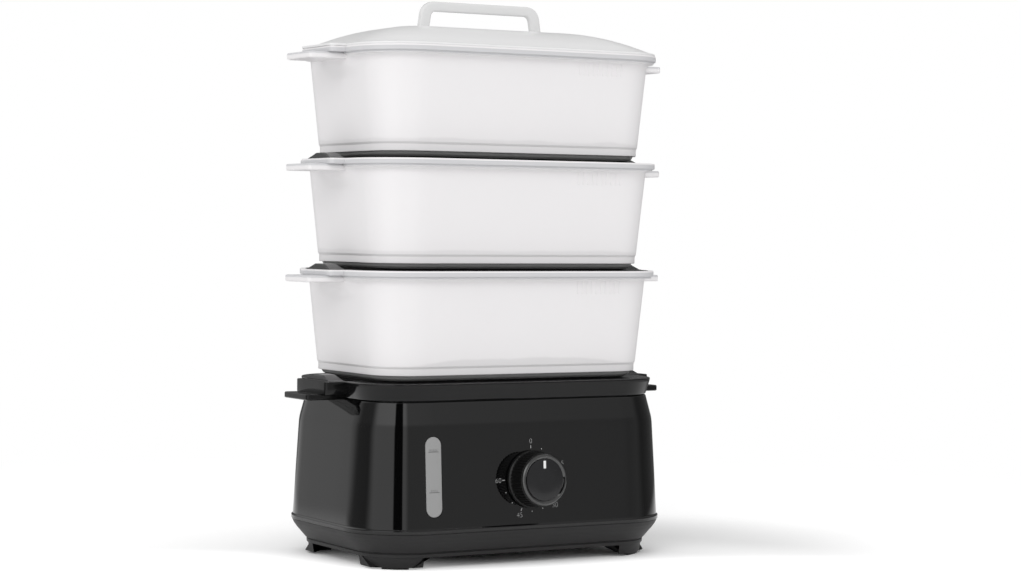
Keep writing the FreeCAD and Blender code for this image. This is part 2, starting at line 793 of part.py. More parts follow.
def make_timer():
    """Clockwork timer on a bracket behind the front flank, with its shaft and knob in front."""
    wall = size("housing_wall")
    standoff = size("bracket_standoff")
    plate = size("bracket_thickness")
    half = size("timer_width") / 2
    bracket = new_body("timer_bracket")
    sketch = new_sketch(bracket, "XZ_Plane", -(wall + standoff))
    add_rounded(sketch, half + 8, half * 0.7, 4)
    add_circle(sketch, size("shaft_diameter") / 2 + 2.2)
    pad(bracket, sketch, plate, back=True)
    sketch = new_sketch(bracket, "XZ_Plane", -(wall + standoff))
    for sx in (-1, 1):
        add_circle(sketch, 3.5, sx * (half + 3), 0)
    pad(bracket, sketch, standoff)
    case_front = wall + standoff + plate
    case = new_body("timer_mechanism")
    sketch = new_sketch(case, "XZ_Plane", -case_front)
    add_rounded(sketch, half, half * 0.86, 6)
    pad(case, sketch, size("timer_depth"), back=True)
    sketch = new_sketch(case, "XZ_Plane", -(case_front + size("timer_depth")))
    for k in (-1, 0, 1):
        add_box(sketch, 3.2, 0.4, 12 * k, 6)
    pad(case, sketch, 6, back=True)
    sketch = new_sketch(case, "XZ_Plane", -case_front)
    add_circle(sketch, size("shaft_diameter") / 2 + 1.8)
    add_circle(sketch, size("shaft_diameter") / 2 + 0.1)
    pad(case, sketch, plate + standoff * 0.8)
    sketch = new_sketch(case, "XZ_Plane", -case_front)
    add_circle(sketch, size("shaft_diameter") / 2 + 0.1)
    pocket(case, sketch, 8)
    nut = new_body("timer_nut")
    sketch = new_sketch(nut, "XZ_Plane", -(wall + standoff))
    across = size("shaft_diameter") / 2 + 5
    points = []
    for k in range(6):
        angle = math.radians(60 * k)
        points.append((across * math.cos(angle), across * math.sin(angle)))
    add_polygon(sketch, points)
    add_circle(sketch, size("shaft_diameter") / 2 + 1.85)
    pad(nut, sketch, standoff * 0.6)
    for body in (bracket, case, nut):
        on_flank(body, size("knob_level"))
    make_knob(case_front)


def make_knob(case_front):
    """Fluted cap, gloss bezel, recessed face and pointer on one shaft, axis outward along -Y."""
    gap = 1.0
    base, face = size("knob_base") / 2, size("knob_face") / 2
    tall = size("knob_height")
    wall = size("knob_wall")
    bezel = size("bezel_width")
    bezel_in = face - bezel
    shaft = size("shaft_diameter") / 2
    # Profiles are drawn as radius against distance from the panel and turned about Y
    knob = new_body("timer_knob")
    profile = ((shaft + 0.05, tall - 7), (shaft + 0.05, gap + 3), (shaft + 2.6, gap + 3),
               (shaft + 2.6, tall - 7), (base - wall - 1.0, tall - 7), (base - wall, gap),
               (base, gap), (base, gap + 3.2), (base - 1.0, gap + 3.8),
               (face + 0.7, tall - 2.6), (face - 0.4, tall - 2.6), (face - 0.4, tall - 4.0),
               (0, tall - 4.0), (0, tall - 7))
    revolve(knob, [(x, -y) for x, y in profile], plane="XY_Plane")
    sketch = new_sketch(knob, "XZ_Plane", gap + 3.8)
    mid = (base + face) / 2
    add_circle(sketch, size("flute_diameter") / 2, mid + 0.45, 0)
    flute = pocket(knob, sketch, tall - gap - 3.8, along=True)
    polar = knob.newObject("PartDesign::PolarPattern", "knob_flutes")
    polar.Originals = [flute]
    polar.Axis = (plane_of(knob, "Y_Axis"), [""])
    polar.Angle = 360
    polar.Occurrences = int(size("flute_count").value)
    polar.setExpression("Occurrences", "Sizes.flute_count")
    knob.Tip = polar
    doc.recompute()
    bezel_body = new_body("knob_bezel")
    back = tall - 4.0
    revolve(bezel_body, [(x, -y) for x, y in (
        (bezel_in, back), (face - 0.5, back), (face - 0.5, tall - 1.6), (face - 1.6, tall),
        (bezel_in + 1.2, tall), (bezel_in, tall - size("face_recess")))], plane="XY_Plane")
    cap = new_body("knob_face")
    sketch = new_sketch(cap, "XZ_Plane", back)
    add_circle(sketch, bezel_in - 0.05)
    pad(cap, sketch, tall - back - size("face_recess"))
    pointer_low, pointer_high = bezel_in * 0.54, bezel_in * 0.90
    sketch = new_sketch(cap, "XZ_Plane", tall - size("face_recess"))
    add_box(sketch, 1.15, (pointer_high - pointer_low) / 2, 0, (pointer_high + pointer_low) / 2)
    pocket(cap, sketch, 0.6)
    pointer = new_body("knob_pointer")
    sketch = new_sketch(pointer, "XZ_Plane", tall - size("face_recess") - 0.6)
    add_box(sketch, 1.1, (pointer_high - pointer_low) / 2 - 0.05, 0,
            (pointer_high + pointer_low) / 2)
    pad(pointer, sketch, 0.65)
    spindle = new_body("timer_shaft")
    sketch = new_sketch(spindle, "XZ_Plane", -(case_front + 7.5))
    add_circle(sketch, shaft)
    pad(spindle, sketch, case_front + 7.5 + tall - 7)
    for body in (knob, bezel_body, cap, pointer, spindle):
        on_flank(body, size("knob_level"))


def make_electrics():
    """Terminal block, cord gland and the leads between them, the timer and the heater."""
    block = new_body("terminal_block")
    floor = plinth_bottom + size("plinth_wall")
    block_x, block_y = half_length - 62, half_depth - 40
    slab(block, 15, 9, floor, floor + 13, block_x, block_y)
    sketch = new_sketch(block, "XY_Plane", floor + 13)
    for k in (-1, 0, 1):
        add_circle(sketch, 2.4, block_x + 9 * k, block_y + 3)
    pocket(block, sketch, 8)
    gland = new_body("cord_gland")
    wall = size("housing_wall")
    revolve(gland, [(x, y) for x, y in (
        (3.6, -wall - 3), (7.5, -wall - 3), (7.5, -wall - 0.1), (gland_radius - 0.3, -wall - 0.1),
        (gland_radius - 0.3, 0.1), (8.0, 0.1), (8.0, 2.2), (6.2, 6.0), (3.6, 6.0))],
        plane="XY_Plane")
    on_flank(gland, gland_level, gland_x, rear=True)
    make_wiring(floor, block_x, block_y)


def make_wiring(floor, block_x, block_y):
    """Leads drawn as straight runs joined by round bends that are as wide as the runs allow."""
    under = size("tub_floor_level").value
    back = size("tub_back").value
    top = floor.value + 13
    behind = size("housing_wall") + size("bracket_standoff") + size("bracket_thickness")
    timer_y = (behind + size("timer_depth") + 6 - half_depth - flank_proud(size("knob_level"))).value
    timer_z = size("knob_level").value + 4
    tail_x = size("element_radius").value * 0.5
    tail_y = back - size("element_radius").value * 0.87
    tail_z = under - 1 - size("element_tube").value * 2.6 - 6
    bx, by = block_x.value, block_y.value + 3
    # The leads to the timer pass midway between its terminals and the reservoir's front
    between_y = (timer_y + back - tub_half_y.value) / 2
    routes = (
        ((bx - 9, by, top - 4), (bx - 9, by, top + 13), (bx - 30, by - 30, top + 14),
         (tail_x + 14, tail_y - 6, tail_z - 4), (tail_x, tail_y, tail_z)),
        ((bx, by, top - 4), (bx, by, top + 12), (bx - 2, by - 60, top + 10),
         (40, between_y, top + 16), (12, between_y, under - 2), (12, timer_y + 1.6, timer_z)),
        ((-12, timer_y + 1.6, timer_z), (-13, between_y, under - 3),
         (-18, tail_y - 22, tail_z + 2), (-tail_x, tail_y, tail_z)),
    )
    tubes = []
    for route in routes:
        points = [Vector(*p) for p in route]
        edges = []
        start = points[0]
        for k in range(1, len(points) - 1):
            before, here, after = points[k - 1], points[k], points[k + 1]
            way_in = (here - before).normalize()
            way_out = (after - here).normalize()
            turn = way_in.getAngle(way_out)
            cut = 0.45 * min((here - before).Length, (after - here).Length)
            a, b = here - way_in * cut, here + way_out * cut
            radius = cut / math.tan(turn / 2)
            middle = here + (way_out - way_in).normalize() * (radius / math.cos(turn / 2) - radius)
            edges.append(Part.LineSegment(start, a).toShape())
            edges.append(Part.Arc(a, middle, b).toShape())
            start = b
        edges.append(Part.LineSegment(start, points[-1]).toShape())
        path = Part.Wire(edges)
        heading = (points[1] - points[0]).normalize()
        section = Part.Wire([Part.Circle(points[0], heading, 1.1).toShape()])
        tubes.append(path.makePipeShell([section], True, False))
    wiring = doc.addObject("Part::Feature", "internal_wiring")
    wiring.Label = "internal_wiring"
    wiring.Shape = Part.makeCompound(tubes)
    NODES.append(wiring)


def add_rim(body, level):
    """Seat for the piece above: a land, a ledge below it and the same seat in both end lobes."""
    lobe_out = half_length + size("lobe_reach")
    flat_ring(body, -size("land_inset"), level - size("ledge_drop"), level, cut=True)
    slab(body, lobe_out - size("lobe_wall"), size("lobe_width") / 2 - size("lobe_wall"),
         level - size("ledge_drop"), level, cut=True)


def make_drip_tray():
    body = new_body("drip_tray")
    low, rim = tray_bottom, tray_rim
    inset = size("neck_inset")
    loft(body, [ring(low, -inset), ring(rim, 0)])
    lobe_out = half_length + size("lobe_reach")
    grip_top = low + size("grip_thickness") - 1.2
    slab(body, lobe_out, size("lobe_width") / 2, low + 3, rim)
    grip_in = half_length - inset + 1
    grip_half = (half_length + size("grip_reach") - grip_in) / 2
    for sx in (-1, 1):
        sketch = new_sketch(body, "XY_Plane", low - 1.2)
        add_rounded(sketch, grip_half, size("grip_width") / 2, 5, sx * (grip_in + grip_half), 0)
        pad(body, sketch, grip_top - low + 1.2)
    add_rim(body, rim)
    seat = housing_top + size("tub_flange")
    floor = seat + size("tray_floor")
    flat_ring(body, -size("deck_inset") + 4.4, low, seat, cut=True)
    loft(body, [ring(floor, -inset - size("lobe_wall")),
                ring(rim - size("ledge_drop"), -size("cavity_inset"))], cut=True)
    # Raised steam opening in the floor
    sketch = new_sketch(body, "XY_Plane", floor - 0.2)
    add_rounded(sketch, size("chimney_length") / 2 + 2, size("chimney_width") / 2 + 2, 12)
    pad(body, sketch, size("chimney_height"))
    sketch = new_sketch(body, "XY_Plane", seat)
    add_rounded(sketch, size("chimney_length") / 2, size("chimney_width") / 2, 10)
    pocket(body, sketch, size("chimney_height") + size("tray_floor"), along=True)
    return body


def wall_inset(depth):
    """How far the basket's outer wall stands in from the rim outline at a depth below the rim."""
    return size("basket_top_inset") + depth * size("basket_taper")


def make_basket_wall(name, rim):
    """Frosted wall, open above and below, with rim band, end lobes, grips and finger pockets."""
    body = new_body(name)
    deep = size("basket_depth")
    knee = deep - 4
    foot = wall_inset(knee) + size("foot_step")
    band = size("band_height")
    under_band = band + 3.4
    loft(body, [ring(rim - deep, -foot), ring(rim - deep + 2.8, -foot),
                ring(rim - knee, -wall_inset(knee)), ring(rim - under_band, -wall_inset(under_band)),
                ring(rim - band, -size("basket_top_inset"))])
    flat_ring(body, 0, rim - band - 1.8, rim - band)
    flat_ring(body, size("band_proud"), rim - band, rim)
    lobe_out = half_length + size("lobe_reach")
    half_lobe = size("lobe_width") / 2
    slab(body, lobe_out, half_lobe, rim - band, rim)
    # Grips under the lobes
    grip_in = half_length - size("basket_top_inset")
    grip_half = (half_length + size("grip_reach") - grip_in) / 2
    grip_low = rim - band - size("grip_thickness") - 0.4
    for sx in (-1, 1):
        sketch = new_sketch(body, "XY_Plane", grip_low)
        add_rounded(sketch, grip_half, size("grip_width") / 2, 5, sx * (grip_in + grip_half), 0)
        pad(body, sketch, rim - band - grip_low)
    # Finger pockets that swell out of the end walls below the grips
    pocket_out = half_length + size("pocket_reach")
    pocket_low = rim - size("pocket_depth")
    slab(body, pocket_out, half_lobe, pocket_low, rim - band)
    ramp_low = pocket_low - size("pocket_ramp")
    ramp_in = half_length - wall_inset(size("pocket_depth") + size("pocket_ramp"))
    sketch = new_sketch(body, "XZ_Plane", -half_lobe)
    add_polygon(sketch, ((-ramp_in, ramp_low), (ramp_in, ramp_low), (pocket_out, pocket_low),
                         (-pocket_out, pocket_low)))
    pad(body, sketch, size("lobe_width"))
    # Fine upright ribs on the front wall, near its right end
    rib_depth = size("band_height") + 3.4
    sketch = new_sketch(body, "XZ_Plane", half_depth - wall_inset(rib_depth + size("rib_height")) - 1)
    rib_first = half_length - 87
    for k in range(10):
        add_box(sketch, 0.6, size("rib_height") / 2, rib_first + size("rib_pitch") * k,
                rim - rib_depth - size("rib_height") / 2)
    pad(body, sketch, 1.0 + wall_inset(rib_depth + size("rib_height")) - wall_inset(rib_depth) + 0.35)
    # Inside
    thick = size("basket_wall_thickness")
    loft(body, [ring(rim - deep, -foot - thick), ring(rim - deep + 2.8, -foot - thick),
                ring(rim - knee + 1, -wall_inset(knee) - thick),
                ring(rim - under_band, -wall_inset(under_band) - thick),
                ring(rim - size("ledge_drop"), -size("cavity_inset"))], cut=True)
    add_rim(body, rim)
    inner = size("lobe_wall")
    slab(body, pocket_out - inner, half_lobe - inner, pocket_low + inner,
         rim - size("ledge_drop"), cut=True)
    return body


def make_basket_base(name, rim):
    """Dark perforated base: a flange with raised ears on the rim below, a neck and a spigot."""
    body = new_body(name)
    low = rim - size("ledge_drop")
    top = low + size("flange_thickness")
    clear = size("seat_clearance")
    seat = rim + size("tier_pitch") - size("basket_depth")
    knee = size("basket_depth") - 4
    foot = wall_inset(knee) + size("foot_step")
    flange_out = -size("land_inset") - clear
    flat_ring(body, flange_out, low, top)
    lobe_half_x = half_length + size("lobe_reach") - size("lobe_wall") - clear
    lobe_half_y = size("lobe_width") / 2 - size("lobe_wall") - clear
    slab(body, lobe_half_x, lobe_half_y, low, top)
    neck = seat - top
    foot_inset = size("neck_foot_inset")
    step = foot_inset - foot
    loft(body, [ring(top, -foot_inset), ring(top + neck * 0.26, -foot_inset + step * 0.52),
                ring(top + neck * 0.62, -foot_inset + step * 0.88), ring(seat, -foot)])
    spigot = foot + size("basket_wall_thickness") + clear
    flat_ring(body, -spigot, seat, rim + size("spigot_rise"))
    floor_low = rim + size("floor_rise")
    floor_top = floor_low + size("floor_thickness")
    loft(body, [ring(low, -foot_inset - 2.5), ring(floor_low, -spigot - 3)], cut=True)
    flat_ring(body, -spigot - 2, floor_top, rim + size("spigot_rise"), cut=True)
    # Steam holes in rows through the floor
    pitch = size("hole_pitch")
    columns = int((half_length - spigot - 12).value // pitch.value)
    rows = int((half_depth - spigot - 12).value // pitch.value)
    places = []
    for i in range(-columns, columns + 1):
        for j in range(-rows, rows + 1):
            if abs(i) < columns or abs(j) < rows:
                places.append((pitch * i, pitch * j))
    bore(body, size("hole_diameter") / 2, floor_low, floor_top, places)
    # Ears over the end lobes
    ear_in = half_length - 2
    ear_out = lobe_half_x - 0.4
    for sx in (-1, 1):
        level = ear_in if sx > 0 else -ear_out
        sketch = new_sketch(body, "YZ_Plane", level)
        foot_y, crest_y = size("ear_length") / 2, size("ear_crest") / 2
        crest = top + size("ear_rise")
        add_polygon(sketch, ((-foot_y, top - 0.3), (foot_y, top - 0.3), (foot_y - 6, top + 2.6),
                             (crest_y, crest), (-crest_y, crest), (-foot_y + 6, top + 2.6)))
        pad(body, sketch, ear_out - ear_in)
    return body


def repeat_up(piece, tier, steps):
    """The same piece again, a number of tiers higher up."""
    name = piece.Label.replace("lower", tier)
    copy = doc.addObject("Part::Compound", name)
    copy.Label = name
    copy.Links = [piece]
    rise = size("tier_pitch") * steps
    copy.Placement = Placement(Vector(0, 0, rise.value), Rotation())
    copy.setExpression("Placement.Base.z", rise.text)
    NODES.append(copy)
    REPEATS.append(copy)


def dome_ring(share, rim, wall):
    """The dome's outline at a share of the way from its edge to its plateau."""
    long_edge = half_length - size("dome_inset") - wall
    deep_edge = half_depth - size("dome_inset") - wall
    corner_edge = rim_corner - size("dome_inset") - wall
    rise = 1 - (1 - share) ** 1.9
    level = rim + size("lid_thickness") + size("dome_height") * rise
    return (level - wall,
            long_edge - (long_edge - size("plateau_length") / 2) * share,
            deep_edge - (deep_edge - size("plateau_width") / 2) * share,
            corner_edge - (corner_edge - 10) * share)


def make_lid(rim):
    """Domed lid with an overhanging flange, end lobes and a skirt inside the top basket."""
    body = new_body("lid_shell")
    thick = size("lid_thickness")
    over = size("lid_overhang")
    flat_ring(body, over, rim, rim + thick)
    slab(body, half_length + size("lobe_reach") + over * 0.4, size("lobe_width") / 2 + over * 0.4,
         rim, rim + thick)
    shares = (0, 0.15, 0.3, 0.45, 0.6, 0.8, 1.0)
    loft(body, [dome_ring(share, rim, Size.of(0)) for share in shares])
    skirt_out = size("skirt_inset")
    wall = thick * 0.8
    flat_ring(body, -skirt_out, rim - size("skirt_depth"), rim + 0.5)
    loft(body, [ring(rim - size("skirt_depth"), -skirt_out - wall),
                ring(rim, -skirt_out - wall)], cut=True)
    inner = [dome_ring(share, rim, thick) for share in shares]
    first = dome_ring(0.12, rim, thick)
    loft(body, [(rim, first[1], first[2], first[3])] + [first] + inner[1:], cut=True)
    leg_x = size("handle_span") / 2 - size("handle_leg") / 2
    bore(body, size("screw_diameter") / 2 + 0.1, rim + size("dome_height") - 1,
         rim + size("dome_height") + thick + 1, [(leg_x, 0), (-leg_x, 0)])
    make_handle(rim + thick + size("dome_height"), leg_x)


def make_handle(seat, leg_x):
    body = new_body("lid_handle")
    wide, lean = size("handle_span") / 2, size("handle_lean")
    leg, bar = size("handle_leg"), size("handle_bar")
    top = seat + size("handle_height")
    sketch = new_sketch(body, "XZ_Plane", size("handle_thickness") / -2)
    outline = [(wide, seat), (wide - lean, top), (-wide + lean, top), (-wide, seat),
               (-wide + leg, seat), (-wide + leg + lean * 0.7, top - bar),
               (wide - leg - lean * 0.7, top - bar), (wide - leg, seat)]
    add_polygon(sketch, outline)
    raised = pad(body, sketch, size("handle_thickness"))
    bends = []
    for x, z in (outline[1], outline[2]):
        bends.append((x.value, z.value, size("handle_outer_radius")))
    for x, z in (outline[5], outline[6]):
        bends.append((x.value, z.value, size("handle_inner_radius")))
    for x, z, radius in bends:
        edge = upright_edge(body.Shape, x, z)
        fillet = body.newObject("PartDesign::Fillet", "handle_bend")
        fillet.Base = (raised, [edge])
        bind(fillet, "Radius", radius)
        doc.recompute()
        raised = fillet
    sketch = new_sketch(body, "XY_Plane", seat)
    for sx in (-1, 1):
        add_circle(sketch, size("screw_diameter") / 2 - 0.05, sx * leg_x, 0)
    pocket(body, sketch, 10, along=True)
    head = 2.0
    thick = size("lid_thickness")
    make_fasteners("lid_screws", [(sx * leg_x, 0, seat - thick - head) for sx in (-1, 1)],
                   size("screw_head"), head, thick + 9)
    return raised


def upright_edge(shape, x, z):
    """The name of the edge that runs front to back through a point of the side view."""
    for index, edge in enumerate(shape.Edges, 1):
        a, b = edge.Vertexes[0].Point, edge.Vertexes[-1].Point
        if max(abs(a.x - x), abs(b.x - x), abs(a.z - z), abs(b.z - z)) < 0.01:
            return "Edge%d" % index
    raise RuntimeError("no bend at %.2f, %.2f" % (x, z))


make_base_housing()
make_plinth()
make_foot_pads()
screw_low = plinth_bottom + 0.4
make_fasteners("housing_screws",
               [(x, y, screw_low) for x, y in corners(size("boss_x"), size("boss_y"))],
               size("screw_head"), 2.2, size("seam_level") + size("boss_height") - 8 - screw_low)
make_water_reservoir()
make_heater()
make_steam_ring()
make_window()
make_timer()
make_electrics()
make_drip_tray()
for piece in (make_basket_base("basket_base_lower", tray_rim),
              make_basket_wall("basket_wall_lower", tray_rim + size("tier_pitch"))):
    repeat_up(piece, "middle", 1)
    repeat_up(piece, "upper", 2)
make_lid(tray_rim + size("tier_pitch") * 3)

# Everything moves back, so that the origin is under the middle of the whole part's box
for node in NODES:
    if node not in REPEATS:
        place = STANDS.get(node.Name, OWN_BACK.get(node.Name, Size.of(0))) + size("origin_shift")
        node.Placement.Base.y = place.value
        node.setExpression("Placement.Base.y", place.text)

doc.recompute()
for thing in doc.Objects:
    if "Invalid" in thing.State or "Error" in thing.State:
        raise RuntimeError(thing.Label + ": " + ", ".join(thing.State))
for node in NODES:
    shape = node.Shape
    if shape.isNull() or not shape.isValid() or shape.Volume <= 0:
        raise RuntimeError(node.Label + ": no valid shape")
for node in NODES:
    node.Shape.exportStep("parts/%s.step" % node.Label)
    box = node.Shape.BoundBox
    print("%-22s %10.1f mm3  %7.1f %7.1f %7.1f  to %7.1f %7.1f %7.1f" % (
        node.Label, node.Shape.Volume, box.XMin, box.YMin, box.ZMin, box.XMax, box.YMax, box.ZMax))
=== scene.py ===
"""Looks of a three tier electric food steamer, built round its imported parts.

Metres, +Z up, dial side towards -Y. Every plan outline is one rounded rectangle that is moved in
or out by an offset, as on the solid parts, so the sizes below repeat those of the parts.
"""

import json
import logging
import math
from dataclasses import dataclass, field
from enum import Enum
from typing import Callable, Sequence

import bpy
import numpy as np
from mathutils import Matrix, Vector

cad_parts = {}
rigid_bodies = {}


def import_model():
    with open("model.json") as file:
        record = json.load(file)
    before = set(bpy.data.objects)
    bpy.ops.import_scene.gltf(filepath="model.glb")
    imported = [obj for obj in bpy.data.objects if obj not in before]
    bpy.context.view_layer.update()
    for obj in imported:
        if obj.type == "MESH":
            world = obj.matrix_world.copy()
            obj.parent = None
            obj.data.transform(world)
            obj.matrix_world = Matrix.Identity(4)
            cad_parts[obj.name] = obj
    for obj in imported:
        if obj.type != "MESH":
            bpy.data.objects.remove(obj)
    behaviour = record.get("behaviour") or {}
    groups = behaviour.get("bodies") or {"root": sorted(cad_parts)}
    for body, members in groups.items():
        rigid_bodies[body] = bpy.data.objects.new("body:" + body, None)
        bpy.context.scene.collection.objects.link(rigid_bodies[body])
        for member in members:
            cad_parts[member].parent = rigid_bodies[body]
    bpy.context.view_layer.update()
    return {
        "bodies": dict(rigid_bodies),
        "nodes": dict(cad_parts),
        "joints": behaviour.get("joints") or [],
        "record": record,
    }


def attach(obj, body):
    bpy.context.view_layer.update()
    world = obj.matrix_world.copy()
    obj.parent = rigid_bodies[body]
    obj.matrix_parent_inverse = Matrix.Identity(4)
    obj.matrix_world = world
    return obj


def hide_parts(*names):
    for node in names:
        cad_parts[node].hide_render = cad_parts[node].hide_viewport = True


log = logging.getLogger("steamer")
MM = 0.001
# Levels in millimetres: the drip tray's rim, and the height of one tier
TRAY_RIM = 145.3
PITCH = 88.2
# The pieces are worked out about the housing's own middle, which stands this far behind the origin
BACK = np.array([0.0, 8.3, 0.0])
# Turns a block's plan up on to the front panel
STAND_UP = Matrix.Rotation(math.radians(90), 4, "X")
Pair = tuple[float, float]
Colour = tuple[float, float, float]


class Tier(Enum):
    """The three baskets, counted from the drip tray upwards."""

    LOWER = 0
    MIDDLE = 1
    UPPER = 2


class Side(Enum):
    """The two short ends."""

    LEFT = -1
    RIGHT = 1


# Shader helpers


class Value:
    """A number socket that adds Math nodes when it is used in an expression."""

    def __init__(self, graph: "Graph", socket: bpy.types.NodeSocket) -> None:
        """Keeps the graph and the socket."""
        self.graph = graph
        self.socket = socket

    def _math(self, operation: str, *values: object) -> "Value":
        """Adds one Math node."""
        node = self.graph.node("ShaderNodeMath", {"operation": operation}, dict(enumerate(values)))
        return Value(self.graph, node.outputs[0])

    def __add__(self, other: object) -> "Value":
        """Sum."""
        return self._math("ADD", self, other)

    def __sub__(self, other: object) -> "Value":
        """Difference."""
        return self._math("SUBTRACT", self, other)

    def __rsub__(self, other: object) -> "Value":
        """Difference, reflected."""
        return self._math("SUBTRACT", other, self)

    def __mul__(self, other: object) -> "Value":
        """Product."""
        return self._math("MULTIPLY", self, other)

    def __truediv__(self, other: object) -> "Value":
        """Quotient."""
        return self._math("DIVIDE", self, other)

    __radd__ = __add__
    __rmul__ = __mul__

    def absolute(self) -> "Value":
        """Distance from nought."""
        return self._math("ABSOLUTE", self)

    def largest(self, other: object) -> "Value":
        """The larger of two."""
        return self._math("MAXIMUM", self, other)

    def root(self) -> "Value":
        """Square root."""
        return self._math("SQRT", self)

    def fraction(self) -> "Value":
        """What is left after whole numbers."""
        return self._math("FRACT", self)

    def heading(self, other: object) -> "Value":
        """The angle in degrees, from 0 to 360, with this as its sine side."""
        turns = self._math("ARCTAN2", self, other) * (1 / (2 * math.pi))
        return (turns + 1.0).fraction() * 360.0

    def between(self, low: float, high: float) -> "Value":
        """Rises smoothly from 0 at low to 1 at high."""
        node = self.graph.node(
            "ShaderNodeMapRange",
            {"interpolation_type": "SMOOTHSTEP", "clamp": True},
            {"Value": self, "From Min": low, "From Max": high},
        )
        return Value(self.graph, node.outputs[0])


class Graph:
    """A material's or world's node tree."""

    def __init__(self, tree: bpy.types.NodeTree) -> None:
        """Empties the tree."""
        self.tree = tree
        tree.nodes.clear()

    def node(self, kind: str, settings: dict[str, object] | None = None,
             inputs: dict[object, object] | None = None) -> bpy.types.Node:
        """Adds a node.

        Args:
            kind: the node's type.
            settings: its properties, set before anything else; "stops" fills a colour ramp.
            inputs: values, sockets or nodes for its sockets, by name or number.

        Returns:
            The node.
        """
        made = self.tree.nodes.new(kind)
        for name, value in (settings or {}).items():
            if name == "stops":
                ramp = made.color_ramp
                while len(ramp.elements) < len(value):
                    ramp.elements.new(0.5)
                for stop, (place, shade) in zip(ramp.elements, value):
                    stop.position = place
                    stop.color = (*shade, 1.0)
            else:
                setattr(made, name, value)
        for name, value in (inputs or {}).items():
            socket = made.inputs[name]
            if isinstance(value, Value):
                self.tree.links.new(value.socket, socket)
            elif isinstance(value, bpy.types.NodeSocket):
                self.tree.links.new(value, socket)
            elif isinstance(value, bpy.types.Node):
                self.tree.links.new(value.outputs[0], socket)
            elif isinstance(value, (tuple, list)) and len(socket.default_value) == 4:
                socket.default_value = (*value, 1.0) if len(value) == 3 else tuple(value)
            else:
                socket.default_value = value
        return made

    def place(self) -> bpy.types.NodeSocket:
        """Where a point of the piece is, in metres."""
        return self.node("ShaderNodeTexCoord").outputs["Object"]

    def parts(self, vector: object) -> tuple[Value, Value, Value]:
        """The three numbers of a vector."""
        node = self.node("ShaderNodeSeparateXYZ", None, {0: vector})
        return tuple(Value(self, socket) for socket in node.outputs)

    def noise(self, per_metre: float, detail: float = 2.0, stretch: Colour = (1, 1, 1)) -> Value:
        """Noise over the piece's own place.

        Args:
            per_metre: how many patches a metre has.
            detail: how many finer layers it has.
            stretch: a smaller number draws the patches out along that axis.

        Returns:
            The noise, from 0 to 1.
        """
        moved = self.node("ShaderNodeMapping", None, {"Vector": self.place(), "Scale": stretch})
        node = self.node("ShaderNodeTexNoise", None,
                         {"Vector": moved, "Scale": per_metre, "Detail": detail})
        return Value(self, node.outputs["Fac"])

    def blend(self, share: object, first: object, second: object) -> bpy.types.NodeSocket:
        """A colour between two.

        Args:
            share: 0 gives the first and 1 the second.
            first: a colour or a socket.
            second: a colour or a socket.

        Returns:
            The blended colour's socket.
        """
        node = self.node("ShaderNodeMix", {"data_type": "RGBA"}, {"Factor": share})
        for socket, value in ((node.inputs[6], first), (node.inputs[7], second)):
            if isinstance(value, bpy.types.NodeSocket):
                self.tree.links.new(value, socket)
            else:
                socket.default_value = (*value, 1.0)
        return node.outputs[2]

    def bump(self, height: Value, strength: float, depth: float) -> bpy.types.NodeSocket:
        """A bumpy normal from a height."""
        node = self.node("ShaderNodeBump", None,
                         {"Height": height, "Strength": strength, "Distance": depth})
        return node.outputs[0]


@dataclass(frozen=True)
class Finish:
    """A moulded or metal surface: a colour, its gloss, a fine grain and a faint mottle."""

    name: str
    slot: str
    colour: Colour
    roughness: float
    gloss_spread: float = 0.04
    mottle: float = 0.08
    grain_per_metre: float = 900.0
    grain_strength: float = 0.05
    grain_depth: float = 0.00003
    stretch: Colour = (1, 1, 1)
    metallic: float = 0.0
    specular: float = 0.5
    coat: float = 0.0
    transmission: float = 0.0
    # tint changes the colour by place; on the frosted wall and the basket base it paints shade and
    # reflection
    tint: Callable[["Graph", bpy.types.NodeSocket], bpy.types.NodeSocket] | None = field(
        default=None, compare=False)

    def material(self) -> bpy.types.Material:
        """Builds the material once.

        Returns:
            The material, found by its name where it is there already.
        """
        name = self.name + "_finish"
        found = bpy.data.materials.get(name)
        if found:
            return found
        made = bpy.data.materials.new(name)
        made.use_nodes = True
        graph = Graph(made.node_tree)
        cloud = graph.noise(18.0, 3.0, self.stretch)
        darker = tuple(c * (1 - self.mottle) for c in self.colour)
        lighter = tuple(min(1.0, c * (1 + self.mottle)) for c in self.colour)
        shade = graph.blend(cloud, darker, lighter)
        # Here the tints of the frosted wall and the basket base paint shade and reflection into
        # the colour
        if self.tint:
            shade = self.tint(graph, shade)
        grain = graph.noise(self.grain_per_metre, 2.0, self.stretch)
        rough = (cloud - 0.5) * self.gloss_spread + self.roughness
        shader = graph.node("ShaderNodeBsdfPrincipled", None, {
            "Base Color": shade,
            "Roughness": rough,
            "Metallic": self.metallic,
            "Specular IOR Level": self.specular,
            "Coat Weight": self.coat,
            "Coat Roughness": 0.03,
            "Transmission Weight": self.transmission,
            "Normal": graph.bump(grain, self.grain_strength, self.grain_depth),
        })
        graph.node("ShaderNodeOutputMaterial", None, {"Surface": shader})
        return made

    def dress(self, piece: bpy.types.Object) -> None:
        """Gives the finish to every slot of a piece.

        Args:
            piece: a mesh object.
        """
        if not piece.data.materials:
            piece.data.materials.append(None)
        for index in range(len(piece.data.materials)):
            piece.data.materials[index] = self.material()


def level_in_tier(z: Value, start: float) -> Value:
    """How far a point is above the rim that its tier stands on, in metres.

    It is what is left of the height over the drip tray's rim after whole pitches.

    Args:
        z: the point's height.
        start: the lowest level that counts; what is lower belongs to the tier below.

    Returns:
        The level.
    """
    pitch = PITCH * MM
    return ((z - (TRAY_RIM * MM + start)) / pitch).fraction() * pitch + start


